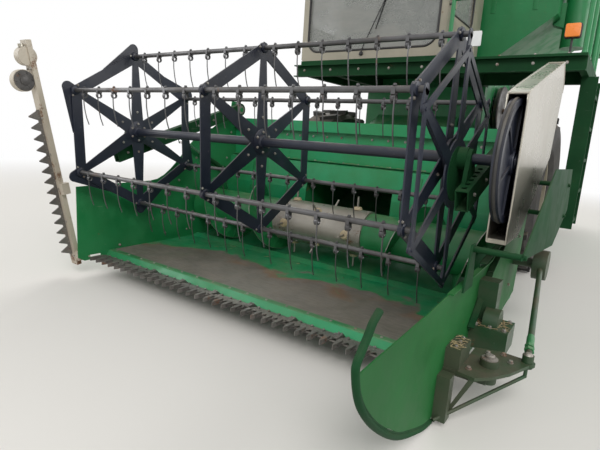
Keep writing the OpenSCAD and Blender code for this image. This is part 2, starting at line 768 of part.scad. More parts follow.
// Feeder housing: hollow, open at the header and at the body, with pivot pins and ram lugs.
module feeder_house() {
    p = feeder_pivot;
    low = 215;
    color(green) {
        difference() {
            along_x(-feeder_w / 2, feeder_w / 2)
                polygon([[back_y + 9.4, low], [back_y + 9.4, 700], [back_y + 29, throat_z + 40],
                    p + [-70, 55], p + [-8, 38], p + [0, -feeder_d]]);
            along_x(-feeder_w / 2 + feeder_t, feeder_w / 2 - feeder_t)
                polygon([[back_y, low + feeder_t], [back_y, throat_z], p + [-70, 40 - feeder_t],
                    p + [1, 20], p + [1, -feeder_d + feeder_t]]);
        }
        for (s = [-1, 1]) {
            disc(p, feeder_pin_r, s > 0 ? feeder_w / 2 - feeder_t : -feeder_w / 2 - 42,
                s > 0 ? feeder_w / 2 + 42 : -feeder_w / 2 + feeder_t);
            for (x = [-40, 30]) translate([s * lift_x + x, 0, 0]) along_x(0, 10)
                polygon([lift_eye + [-40, -30], lift_eye + [40, -30], lift_eye + [90, 110],
                    lift_eye + [-60, 45]]);
            disc(lift_eye, 16, s * lift_x - 45, s * lift_x + 45);
        }
    }
}

// Table floor, trough and back sheet in one bent section, with the throat cut out.
module header_table() {
    c = [auger_y, auger_z];
    t = header_t;
    low = atan2(-trough_r, table_y - auger_y);
    color(green) {
        difference() {
            along_x(-half, half) union() {
                polygon(sheet([[178, bar_top - 12], [205, table_z - t / 2], [table_y - 60, table_z - t / 2],
                    [table_y + 2, table_z + 18]], t));
                difference() {
                    translate(c) circle(trough_r + t);
                    translate(c) circle(trough_r);
                    translate([table_y - 800, 0]) square([800, 1000]);
                    translate(c - [400, 60]) square([1000, 1000]);
                }
                polygon(sheet([[back_y - 12, auger_z - 64], [back_y - 4, auger_z],
                    [back_y + 6, 700], [back_y + 50, 930], [back_y + 110, 945],
                    [back_y + 110, back_tube_z - back_tube / 2 + 2]], t));
                translate([back_y + 60, back_tube_z - back_tube / 2]) square([back_tube, back_tube]);
                translate([back_y - 120, 150]) square([122, 86]);
            }
            block([-throat_w / 2, auger_y + 60, 240], [throat_w / 2, back_y + 40, throat_z]);
        }
        for (x = [-half, -700, 694, half - t]) along_x(x, x + t)
            polygon([[back_y - 120, 151], [back_y - 30, 330], [back_y + 12, 700], [back_y + 54, 925],
                [back_y + 105, 940],
                [back_y + 105, back_tube_z - 40], [back_y + 145, back_tube_z - 40],
                [back_y + 140, 700], [back_y + 60, 200], [back_y - 20, 151]]);
    }
}

// Outline of a side wall in Y and Z: low front edge, S-shaped rise and rear ear.
module wall_outline(front_z1) {
    rise = [for (s = [0:0.1:1])
        [600 + s * 700, front_z1 + 20 + (1180 - front_z1 - 20) * (1 - cos(180 * s)) / 2]];
    polygon(concat([[-50, table_z - 20], [-50, front_z1]], rise,
        [[arm_pivot_y - 70, wall_ear_z - 120], [arm_pivot_y - 50, wall_ear_z], [arm_pivot_y + 50, wall_ear_z],
            [back_y + 150, back_tube_z - 60], [back_y + 110, 700], [back_y + 40, 190], [auger_y, 140],
            [table_y - 100, 150], [180, 125], [0, 120]]));
}

// Pins on the inner face of a wall: arm pivot, reel ram and auger bearing.
module wall_pins(s) {
    disc(arm_pivot, arm_pin_r, s > 0 ? arm_left_x - 10 : -half - 1, s > 0 ? half + 1 : -arm_right_x + 10);
    disc(reel_ram_base, 14, s > 0 ? arm_left_x - 4 : -half - 1, s > 0 ? half + 1 : -arm_right_x + 4);
    disc([auger_y, auger_z], 60, s > 0 ? half - 10 : -half - 1, s > 0 ? half + 1 : -half + 10);
}

// Slot in both walls where the knife's ends pass at the ends of its stroke.
module knife_slot() {
    block([-wall_x1 - 1, knife_y - 5, knife_z - 8], [wall_x1 + 1, knife_y1 + 5, knife_z + 8]);
}

// Left wall with its top flange and the long crop divider.
module header_wall_left() {
    color(olive) {
        difference() {
            along_x(half, wall_x1) union() {
                wall_outline(wall_front_left);
                polygon(concat([[0, wall_front_left - 5], [-230, 560], [30 - nose_reach, 545]],
                    [for (i = [6:len(nose_edge) - 1]) nose_edge[i] + mitre(nose_edge, i) * (2 * nose_bar_r + 2)],
                    [[0, 37], [70, 130]]));
            }
            knife_slot();
        }
        along_x(wall_x1 - 1, wall_x1 + 20)
            polygon(sheet([[-50, wall_front_left - 3], [600, wall_front_left + 17], [740, wall_front_left + 60],
                [950, 890], [1160, 1130], [1300, 1180]], header_t));
        wall_pins(1);
    }
}

// Right wall with its top flange.
module header_wall_right() {
    color(green) {
        difference() {
            along_x(-wall_x1, -half) wall_outline(wall_front_right);
            knife_slot();
        }
        wall_pins(-1);
    }
}

// Cutter bar with its pointed guards and hold-down clips.
module cutter_bar() {
    x0 = -(guard_n - 1) / 2 * guard_pitch;
    color(steel) {
        block([-half, guard_l - 55, bar_top - 10], [half, guard_l + 25, bar_top]);
        for (i = [0:guard_n - 1]) translate([x0 + i * guard_pitch, 0, 0]) difference() {
            along_z(bar_top, knife_z + guard_h / 2)
                polygon([[-2, 0], [2, 0], [9, 26], [12, 70], [13, guard_l], [-13, guard_l], [-12, 70],
                    [-9, 26]]);
            block([-20, knife_y - 4, slot_z0], [20, guard_l + 1, slot_z1]);
            block([-20, knife_y1 - 46, slot_z0], [20, guard_l + 1, 200]);
        }
        for (i = [3:4:guard_n - 1]) translate([x0 + (i + 0.5) * guard_pitch, 0, 0]) along_x(-16, 16)
            polygon([[knife_y1 + 5, bar_top - 1], [knife_y1 + 5, slot_z1 + 1], [knife_y1 - 40, slot_z1 + 1],
                [knife_y1 - 44, slot_z1 + 9], [knife_y1 + 20, slot_z1 + 11], [guard_l + 22, bar_top + 4],
                [guard_l + 22, bar_top - 1]]);
    }
}

// Knife: the back bar and its row of triangular sections.
module knife() {
    n = guard_n;
    x0 = -n / 2 * guard_pitch;
    color(dark_steel) along_z(knife_z - section_t / 2, knife_z + section_t / 2) union() {
        translate([x0 - 5, knife_y1 - 25]) square([n * guard_pitch + 10, 25]);
        polygon(concat([[x0, knife_y1 - 24]],
            [for (i = [0:n - 1], c = [[5, 0], [0.5, 1], [1, 2]])
                c[1] == 0 ? [x0 + i * guard_pitch + 3, knife_y1 - 32] :
                c[1] == 1 ? [x0 + (i + c[0]) * guard_pitch, knife_y] :
                [x0 + (i + 1) * guard_pitch - 3, knife_y1 - 32]],
            [[x0 + n * guard_pitch, knife_y1 - 24]]));
    }
}

// Knife drive outside the left wall: lever plate on its boss, bracket, gearbox and push rod.
module knife_drive() {
    w = wall_x1;
    boss = [w + 154, 145];
    tip = [lever_x1 - 32, 298];
    cam = [1380, 452];
    z = 232;
    color(green) {
        along_z(z, z + 14) {
            polygon([[w + 60, -2], [w + 135, -17], [w + 191, 43], [w + 243, 132], tip + [20, -10],
                tip + [-10, 20], [w + 167, 327], [w + 60, 290]]);
            translate(tip) circle(32);
        }
        translate([boss[0], boss[1], z - 60]) cylinder(r = 38, h = 104);
        block([w, 100, z - 60], [w + 160, 190, z - 36]);
        block([w, 4, z - 14], [w + 108, 44, z + 8]);
        block([w, 10, z], [w + 64, 170, z + 98]);
        block([w, -66, 30], [w + 55, -6, z]);
        along_y(-13, -7) polygon([[w + 40, 60], [w + 56, 60], [w + 138, z + 4], [w + 116, z + 4]]);
        block([w, 380, z - 30], [w + 175, 560, z + 84]);
        block([w, 470, z + 80], [w + 90, 560, z + 290]);
        disc([470, z + 90], 70, w + 50, w + 120);
        disc(cam, 95, w + 120, w + 200);
        disc(cam, 30, w, w + 130);
    }
    color(dark_steel) {
        translate([tip[0], tip[1], z - 10]) cylinder(r = 24, h = 58);
        rod([tip[0], tip[1], z + 32], [w + 160, cam[0], cam[1]], 15);
        bent_rod([[w + 12, -86, 40], [tip[0], tip[1] - 10, 182], [tip[0], tip[1] - 10, z + 4]], 8);
    }
}

// Post of the side knife on the right wall, with its motor and eccentric housing.
module side_knife_post() {
    color(cream) translate([post_x, 0, post_z]) rotate([post_lean, 0, 0]) {
        difference() {
            block([-post_w / 2, -post_d, 0], [post_w / 2, 0, post_l]);
            block([-post_w / 2 + 8, -post_d + 8, -1], [post_w / 2 - 8, 1, post_l - 60]);
        }
        block([post_w / 2 - 8, -post_d, 560], [-post_x - wall_x1, 20, 640]);
        block([post_w / 2 - 8, -post_d, 40], [-post_x - wall_x1, 60, 110]);
    }
    color(steel) translate([post_x, 0, post_z]) rotate([post_lean, 0, 0]) {
        translate([-25, -post_d - 60, post_l - 250]) rotate([0, 90, 0]) cylinder(r = 70, h = 50);
        translate([-30, -post_d - 5, post_l - 100]) rotate([0, 90, 0]) cylinder(r = 60, h = 60);
    }
}

// Toothed blade of the side knife.
module side_knife_blade() {
    color(dark_steel) translate([post_x, 0, post_z]) rotate([post_lean, 0, 0])
        along_x(-4, 4) union() {
            translate([-post_d - 20, 90]) square([20 - run, side_teeth * guard_pitch]);
            for (i = [0:side_teeth - 1]) translate([-post_d - 15, 90 + i * guard_pitch])
                polygon([[0, 4], [0, guard_pitch - 4], [-62, guard_pitch / 2 + 4], [-62, guard_pitch / 2 - 4]]);
        }
}

// Pointed guard panel outside the left wall, on its brackets.
module header_guard() {
    x = wall_x1 + 214;
    color(dark_green) {
        along_x(x, x + 6) polygon([[110, 730], [780, 1080], [1690, 1060], [1810, 780], [1200, 620]]);
        for (p = [[1560, 960], [1560, 760]]) disc(p, 16, wall_x1, x + 1);
        along_x(wall_x1 + 20 + run, wall_x1 + 28) polygon([[60, 560], [110, 760], [170, 760], [200, 560]]);
        disc([140, 738], 14, wall_x1 + 20 + run, x + 1);
        bent_rod([for (i = [0:len(nose_edge) - 1]) let (p = nose_edge[i] + mitre(nose_edge, i) * nose_bar_r)
            [half + header_t / 2, p[0], p[1]]], nose_bar_r);
    }
}

// A helical flight round the auger tube from x0 to x1; hand gives its turning sense.
module flight(x0, x1, hand) {
    steps = ceil((x1 - x0) / flight_pitch * 20);
    r0 = auger_r + run;
    pts = [for (i = [0:steps], c = [[r0, 0], [flight_r, 0], [flight_r, 1], [r0, 1]])
        let (a = hand * i / steps * (x1 - x0 - flight_t) / flight_pitch * 360)
        [x0 + i / steps * (x1 - x0 - flight_t) + c[1] * flight_t, c[0] * cos(a), c[0] * sin(a)]];
    quads = [for (i = [0:steps - 1], k = [0:3])
        let (a = 4 * i + k, b = 4 * i + (k + 1) % 4) [a, b, b + 4, a + 4]];
    tris = [for (q = quads) each [[q[0], q[1], q[2]], [q[0], q[2], q[3]]]];
    n = 4 * steps;
    faces = concat(tris, [[2, 1, 0], [3, 2, 0]], [[n, n + 1, n + 2], [n, n + 2, n + 3]]);
    polyhedron(pts, hand > 0 ? faces : [for (f = faces) [f[2], f[1], f[0]]]);
}

// Auger: tube with a flight at each end and the finger drum between them.
module auger() {
    color(green) translate([0, auger_y, auger_z]) {
        disc([0, 0], auger_r, -half + 25, half - 25);
        disc([0, 0], 40, -half + 10 + run, half - 10 - run);
        flight(-half + 30, -drum_half, 1);
        flight(drum_half, half - 30, -1);
    }
    color(galvanised) translate([0, auger_y, auger_z]) {
        disc([0, 0], drum_r, -drum_half, drum_half);
        for (i = [0:3], j = [0:2])
            rotate([(i + j * 0.5) * 90, 0, 0]) translate([-drum_half + 120 + j * 280, 0, 0]) {
                cylinder(r = finger_r, h = flight_r);
                cylinder(r = 26, h = drum_r + 16);
            }
    }
}

// A ram barrel or rod in the plane x, from point a towards point b.
module ram_barrel(x, a, b, r, l, pin) {
    translate([x, a[0], a[1]]) rotate([atan2(b[1] - a[1], b[0] - a[0]) - 90, 0, 0]) difference() {
        union() {
            translate([0, 0, ram_neck]) cylinder(r = r, h = l - ram_neck);
            rotate([0, 90, 0]) translate([0, 0, -20]) cylinder(r = pin + 14, h = 40);
            cylinder(r = pin, h = ram_neck + 5);
        }
        rotate([0, 90, 0]) translate([0, 0, -30]) cylinder(r = pin + run, h = 60);
        translate([0, 0, ram_floor]) cylinder(r = r * 0.6 + run, h = l);
    }
}
module ram_rod(x, a, b, r, l0, eye) {
    d = norm(b - a);
    translate([x, a[0], a[1]]) rotate([atan2(b[1] - a[1], b[0] - a[0]) - 90, 0, 0]) difference() {
        union() {
            translate([0, 0, l0]) cylinder(r = r * 0.6, h = d - l0);
            translate([0, 0, d]) rotate([0, 90, 0]) translate([0, 0, -17]) cylinder(r = eye + 8, h = 34);
        }
        translate([0, 0, d]) rotate([0, 90, 0]) translate([0, 0, -30]) cylinder(r = eye, h = 60);
    }
}
module lift_barrels() {
    color(steel) for (s = [-1, 1]) ram_barrel(s * lift_x, lift_base, lift_eye, 45, 560, 18);
}
module lift_rods() {
    color(galvanised) for (s = [-1, 1]) ram_rod(s * lift_x, lift_base, lift_eye, 45, 120, 16 + 15);
}
module reel_barrels() {
    color(steel) for (x = [-arm_right_x - arm_w / 2, arm_left_x + arm_w / 2])
        ram_barrel(x, reel_ram_base, reel_ram_eye, 22, 330, 14);
}
module reel_rods() {
    color(galvanised) for (x = [-arm_right_x - arm_w / 2, arm_left_x + arm_w / 2])
        ram_rod(x, reel_ram_base, reel_ram_eye, 22, 140, 10 + 9);
}

// One reel arm with its pivot bore, bearing bracket, ram lugs and adjusting holes.
module reel_arm(x) {
    c = [reel_y, reel_z];
    lug_z = reel_ram_eye;
    difference() {
        union() {
            translate([x, arm_pivot_y, arm_pivot_z]) rotate([arm_slope, 0, 0])
                block([0, -arm_l, -arm_h / 2], [arm_w, 0, arm_h / 2]);
            disc(arm_pivot, arm_h / 2 + 8, x, x + arm_w);
            along_x(x, x + 20) polygon([c + [-46, 0], c + [-80, -150], c + [80, -90], c + [46, 0]]);
            disc(c, 46, x, x + 20);
            for (q = [0, arm_w - 10]) along_x(x + q, x + q + 10)
                polygon([lug_z + [-22, -22], lug_z + [22, -22], lug_z + [40, 60], lug_z + [-40, 50]]);
            disc(lug_z, 10, x, x + arm_w);
        }
        translate([x, arm_pivot_y, arm_pivot_z]) rotate([arm_slope, 0, 0]) {
            block([5, -arm_l - 1, -arm_h / 2 + 5], [arm_w - 5, -120, arm_h / 2 - 5]);
            for (i = [0:5]) translate([arm_w / 2, -arm_l + 40 + i * 50, 0]) cylinder(r = 13, h = arm_h);
        }
        disc(arm_pivot, arm_pin_r + run, x - 1, x + arm_w + 1);
        disc(c, reel_shaft_r + run, x - 1, x + arm_w + 1);
    }
}
module reel_arms() {
    color(dark_green) {
        reel_arm(arm_left_x);
        reel_arm(-arm_right_x - arm_w);
    }
    color(dark_steel) difference() {
        union() {
            disc([control_y, control_z], control_disc_r, star_x - 4, star_x + 8);
            disc([reel_y, reel_z], 52, star_x + 7, arm_left_x + 1);
        }
        disc([reel_y, reel_z], reel_shaft_r + clear, star_x - 10, arm_left_x + 0);
        disc([reel_y, reel_z], reel_shaft_r + run, star_x - 10, arm_left_x + 30);
    }
}

// Sheet cover of the reel drive, open at the front round the pulley.
module reel_cover() {
    x0 = pulley_x - 40;
    x1 = pulley_x + 45;
    shape = [[330, 740], [330, 1400], [420, 1430], [1310, 1680], [1430, 1560], [1330, 1130], [620, 740]];
    color(galvanised) difference() {
        along_x(x0, x1) polygon(shape);
        along_x(x0 + 3, x1 - 3) polygon([[329, 760], [329, 1395], [420, 1424], [1305, 1672],
            [1422, 1556], [1322, 1136], [615, 760]]);
        disc([reel_y, reel_z], 60, x0 - 1, x0 + 10);
    }
    color(dark_steel) along_x(arm_left_x + arm_w, x0 + 1)
        polygon([[1000, 1150], [1000, 1215], [1050, 1215], [1050, 1150]]);
}

// A spider: ring of flat plates, tapered spokes, hub and bar bearings.
module spider(x) {
    along_x(x - spider_t / 2, x + spider_t / 2) translate([reel_y, reel_z]) difference() {
        union() {
            rotate(90 + reel_phase) difference() {
                circle(r = reel_r + 34, $fn = 6);
                circle(r = reel_r + 34 - ring_w / cos(30), $fn = 6);
            }
            for (k = [0:5]) rotate(90 + reel_phase + 60 * k)
                polygon([[60, -52], [reel_r, -22], [reel_r, 22], [60, 52]]);
            circle(95);
        }
        for (k = [0:5]) rotate(90 + reel_phase + 60 * k) translate([reel_r, 0]) circle(bar_r + run);
        circle(reel_tube_r - 1);
    }
}

// Six tapered plates with round ends on the outside of the right spider.
module spider_lobes(x) {
    out = [reel_r + 50, 6];
    along_x(x - spider_t, x + 0.1) translate([reel_y, reel_z]) difference() {
        for (k = [0:5]) rotate(90 + reel_phase + 60 * k) {
            translate(out) circle(38);
            polygon([out + [33, 19], [reel_r - 116, 260], [reel_r - 159, 235], [reel_r - 12, -32], out + [0, -38]]);
        }
        for (k = [0:5]) rotate(90 + reel_phase + 60 * k) translate([reel_r, 0]) circle(bar_r + run);
    }
}

// Reel frame: centre tube, spiders, hub disc, shaft ends and drive pulley.
module reel_frame() {
    c = [reel_y, reel_z];
    color(dark_steel) {
        for (x = [reel_x0, mid_spider_x, reel_x1]) spider(x);
        spider_lobes(reel_x0 - spider_t / 2);
        disc(c, reel_tube_r, reel_x0 - 10, reel_x1 + 10);
        disc(c, reel_shaft_r, -arm_right_x - 30, pulley_x + pulley_w / 2 + 8);
        disc(c, 90, reel_x1 + 9, reel_x1 + 22);
        difference() {
            disc(c, pulley_r, pulley_x - pulley_w / 2, pulley_x + pulley_w / 2);
            for (s = [-1, 1]) difference() {
                disc(c, pulley_r - 30, pulley_x + s * 24 - 17, pulley_x + s * 24 + 17);
                disc(c, 60, pulley_x - 60, pulley_x + 60);
            }
        }
    }
}

// Control ring that holds the tines upright: rides on the fixed disc beside the spider.
module reel_control() {
    color(dark_steel) {
        along_x(star_x - 2, star_x + 6) translate([control_y, control_z]) difference() {
            union() {
                circle(control_disc_r + 36);
                rotate(90 + reel_phase) difference() {
                    circle(r = reel_r + 18, $fn = 6);
                    circle(r = reel_r - 18, $fn = 6);
                }
                for (k = [0:5]) rotate(90 + reel_phase + 60 * k) {
                    polygon([[120, -36], [reel_r, -16], [reel_r, 16], [120, 36]]);
                    translate([reel_r, 0]) circle(22);
                }
            }
            circle(control_disc_r + run);
            for (k = [0:5]) rotate(90 + reel_phase + 60 * k) translate([reel_r, 0]) circle(crank_pin_r + run);
        }
    }
}

// Tine bar k with its hanging spring tines and its crank.
module tine_bar(k) {
    a = 90 + reel_phase + 60 * (k - 1);
    p = [reel_y + reel_r * cos(a), reel_z + reel_r * sin(a)];
    q = p - [control_ahead, control_drop];
    bay = [[reel_x0, 118], [mid_spider_x, 86]];
    coil = [-coil_r + tine_r, -bar_r - coil_r - 2];
    color(dark_steel) {
        disc(p, bar_r, reel_x0 - 32, crank_x + 1);
        for (b = bay, i = [0:tine_n - 1]) translate([b[0] + b[1] + i * tine_step, p[0], p[1]]) {
            difference() {
                disc([0, coil[1]], coil_r, -10, 10);
                disc([0, coil[1]], coil_r - 7, -11, 11);
            }
            block([-4, -6, coil[1] + coil_r - 4], [4, 6, -bar_r + 3]);
            translate([0, coil[0], coil[1] - tine_l]) cylinder(r = tine_r, h = tine_l);
        }
        along_x(crank_x, crank_x + 8) difference() {
            union() {
                translate(p) circle(24);
                translate(q) circle(18);
                rotate(0) polygon([p + [-20, 8], p + [20, -8], q + [16, -6], q + [-16, 6]]);
            }
        }
        disc(q, crank_pin_r, crank_x, star_x + 10);
    }
}

placed() separator_body();
placed() straw_hood();
placed() grain_tank();
placed() engine_block();
placed() engine_hood();
placed() front_axle();
placed() rear_axle();
placed() cab_floor();
placed() cab_roof();
placed() cab_front();
placed() cab_right();
placed() cab_rear();
placed() cab_glass();
placed() cab_seat();
placed() steering_column();
placed() platform();
placed() railing();
placed() ladder();
placed() drive_guards();
placed() belt_drives();
placed() lamps();
placed() cab_door();
placed() door_glass();
placed() unloader_tube();
placed() front_tyre(front_track);  // front_tyre_left
placed() front_tyre(-front_track);  // front_tyre_right
placed() rim(front_track, [front_axle_y, front_z], 400, 300, 60 + run, 1);  // front_rim_left
placed() rim(-front_track, [front_axle_y, front_z], 400, 300, 60 + run, -1);  // front_rim_right
placed() rear_tyre(rear_track);  // rear_tyre_left
placed() rear_tyre(-rear_track);  // rear_tyre_right
placed() rim(rear_track, [rear_axle_y, rear_r], 220, 190, 34 + run, 1);  // rear_rim_left
placed() rim(-rear_track, [rear_axle_y, rear_r], 220, 190, 34 + run, -1);  // rear_rim_right
placed() knuckle(1);  // knuckle_left
placed() knuckle(-1);  // knuckle_right
placed() tie_rod();
placed() feeder_house();
placed() header_table();
placed() header_wall_left();
placed() header_wall_right();
placed() cutter_bar();
placed() knife();
placed() knife_drive();
placed() side_knife_post();
placed() side_knife_blade();
placed() header_guard();
placed() auger();
placed() lift_barrels();
placed() lift_rods();
placed() reel_barrels();
placed() reel_rods();
placed() reel_arms();
placed() reel_cover();
placed() reel_frame();
placed() reel_control();
placed() tine_bar(1);  // tine_bar_1
placed() tine_bar(2);  // tine_bar_2
placed() tine_bar(3);  // tine_bar_3
placed() tine_bar(4);  // tine_bar_4
placed() tine_bar(5);  // tine_bar_5
placed() tine_bar(6);  // tine_bar_6
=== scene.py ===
"""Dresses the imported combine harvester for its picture.

The frame brings every solid in metres, +Z up, with the machine's front towards -Y
and its left side towards +X. This script gives the solids their finishes, adds the
fine pieces that they carry, and sets the floor, the lamps and the camera.
"""

import json
import logging
import math
import random
from dataclasses import dataclass, field
from enum import Enum
from typing import Callable, Iterable, Optional, Sequence, Union

import bmesh
import bpy
from mathutils import Matrix, Vector


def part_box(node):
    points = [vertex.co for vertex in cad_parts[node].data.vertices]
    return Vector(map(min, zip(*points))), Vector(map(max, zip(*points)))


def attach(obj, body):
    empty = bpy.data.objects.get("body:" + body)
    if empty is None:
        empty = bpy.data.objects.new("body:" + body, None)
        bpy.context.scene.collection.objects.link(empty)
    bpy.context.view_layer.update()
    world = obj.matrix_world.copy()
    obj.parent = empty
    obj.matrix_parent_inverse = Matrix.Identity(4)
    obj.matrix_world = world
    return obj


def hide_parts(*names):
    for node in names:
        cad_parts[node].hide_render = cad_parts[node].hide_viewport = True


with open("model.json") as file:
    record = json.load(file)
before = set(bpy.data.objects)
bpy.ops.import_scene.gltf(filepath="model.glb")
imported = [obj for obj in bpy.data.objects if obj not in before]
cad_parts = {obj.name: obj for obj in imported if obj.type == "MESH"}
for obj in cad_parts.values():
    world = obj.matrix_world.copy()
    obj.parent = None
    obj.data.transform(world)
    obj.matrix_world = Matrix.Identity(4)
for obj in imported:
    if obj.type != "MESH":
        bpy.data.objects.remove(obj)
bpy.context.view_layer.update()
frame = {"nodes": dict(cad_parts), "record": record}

LOG = logging.getLogger("combine")
Colour = tuple[float, float, float]
Point = tuple[float, float, float]


def node_box(name: str) -> tuple[Vector, Vector]:
    """Gives a solid's lowest and highest corners.

    Args:
        name: The solid's node name.

    Returns:
        The two corners in metres.
    """
    low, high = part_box(name)
    return Vector(low), Vector(high)


TABLE_LOW, TABLE_HIGH = node_box("header_table")
BAR_LOW, BAR_HIGH = node_box("cutter_bar")
MID_X = (TABLE_LOW.x + TABLE_HIGH.x) / 2
TIP_Y = BAR_LOW.y
TABLE_FLOOR_Z = 0.171
DRUM_HALF = 0.40
AUGER_MIDDLE = (1.220, 0.470)
SHARP = math.radians(32.0)


def machine(x: float, y: float, z: float) -> Vector:
    """Turns machine sizes into the frame: from the centreline, the guard tips and the ground.

    Args:
        x: Metres to the machine's left of the centreline.
        y: Metres behind the guard tips.
        z: Metres above the ground.

    Returns:
        The point in the frame.
    """
    return Vector((MID_X + x, TIP_Y + y, z))


class Effect(Enum):
    """The shader node groups that several finishes share."""

    PATINA = "patina"
    DUST = "dust"
    SCUFF = "scuff"
    RUST = "rust"


class Slot(Enum):
    """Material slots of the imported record."""

    GREEN = "green_paint"
    DARK_GREEN = "dark_green_paint"
    OLIVE = "olive_paint"
    DARK_BLUE = "dark_blue_paint"
    CREAM = "cream_paint"
    STEEL = "worn_steel"
    GALVANISED = "galvanised_sheet"
    CHROME = "ram_rod"
    CAST = "cast_metal"
    TYRE = "tyre_rubber"
    GLASS = "cab_glass"
    SEAT = "seat_cover"
    PLASTIC = "dark_plastic"


class Tree:
    """A thin wrapper round a node tree that adds and links nodes."""

    def __init__(self, tree: bpy.types.NodeTree) -> None:
        """Keeps the tree and empties it."""
        self.tree = tree
        self.tree.nodes.clear()

    def add(self, kind: str, **values: object) -> bpy.types.Node:
        """Adds a node and sets its properties.

        Args:
            kind: The node's type name.
            **values: Properties to set on the node.

        Returns:
            The new node.
        """
        node = self.tree.nodes.new(kind)
        for name, value in values.items():
            setattr(node, name, value)
        return node

    def link(self, out: bpy.types.NodeSocket, into: bpy.types.NodeSocket) -> None:
        """Links an output to an input."""
        self.tree.links.new(out, into)

    def feed(self, socket: bpy.types.NodeSocket, value: object) -> None:
        """Links a socket, or sets it to a plain value.

        Args:
            socket: The input socket.
            value: An output socket, a number or a colour.
        """
        if isinstance(value, bpy.types.NodeSocket):
            self.link(value, socket)
        elif isinstance(value, tuple) and len(value) == 3 and socket.type == "RGBA":
            socket.default_value = (*value, 1.0)
        else:
            socket.default_value = value

    def math(self, kind: str, a: object, b: object = 0.0, clamp: bool = False) -> bpy.types.NodeSocket:
        """Adds a Math node.

        Args:
            kind: The operation.
            a: The first value or socket.
            b: The second value or socket.
            clamp: Whether the result is kept between 0 and 1.

        Returns:
            The result's socket.
        """
        node = self.add("ShaderNodeMath", operation=kind, use_clamp=clamp)
        self.feed(node.inputs[0], a)
        self.feed(node.inputs[1], b)
        return node.outputs[0]

    def mix(self, factor: object, a: object, b: object, blend: str = "MIX") -> bpy.types.NodeSocket:
        """Mixes two colours.

        Args:
            factor: Share of the second colour.
            a: The first colour or socket.
            b: The second colour or socket.
            blend: The blend mode.

        Returns:
            The mixed colour's socket.
        """
        node = self.add("ShaderNodeMix", data_type="RGBA", blend_type=blend)
        self.feed(node.inputs[0], factor)
        self.feed(node.inputs[6], a)
        self.feed(node.inputs[7], b)
        return node.outputs[2]

    def ramp(self, value: object, low: float, high: float, to_low: float = 0.0, to_high: float = 1.0,
             ) -> bpy.types.NodeSocket:
        """Maps a range of values to another with a smooth step.

        Args:
            value: The value's socket.
            low: Start of the range.
            high: End of the range.
            to_low: Result at the start.
            to_high: Result at the end.

        Returns:
            The mapped value's socket.
        """
        node = self.add("ShaderNodeMapRange", interpolation_type="SMOOTHSTEP")
        self.feed(node.inputs["Value"], value)
        node.inputs["From Min"].default_value = low
        node.inputs["From Max"].default_value = high
        node.inputs["To Min"].default_value = to_low
        node.inputs["To Max"].default_value = to_high
        return node.outputs[0]

    def noise(self, vector: object, scale: object, detail: float = 4.0, rough: float = 0.55,
              distortion: float = 0.0) -> bpy.types.NodeSocket:
        """Adds a noise texture.

        Args:
            vector: Where it is read.
            scale: Its scale in features a metre.
            detail: Octaves.
            rough: Roughness of the octaves.
            distortion: How far it is bent.

        Returns:
            The value's socket.
        """
        node = self.add("ShaderNodeTexNoise")
        self.feed(node.inputs["Vector"], vector)
        self.feed(node.inputs["Scale"], scale)
        node.inputs["Detail"].default_value = detail
        node.inputs["Roughness"].default_value = rough
        node.inputs["Distortion"].default_value = distortion
        return node.outputs["Fac"]

    def stretched(self, vector: object, factors: Point) -> bpy.types.NodeSocket:
        """Stretches a place by a factor for each axis.

        Args:
            vector: The place's socket.
            factors: The factor along X, Y and Z.

        Returns:
            The stretched place's socket.
        """
        node = self.add("ShaderNodeVectorMath", operation="MULTIPLY")
        self.feed(node.inputs[0], vector)
        node.inputs[1].default_value = factors
        return node.outputs[0]


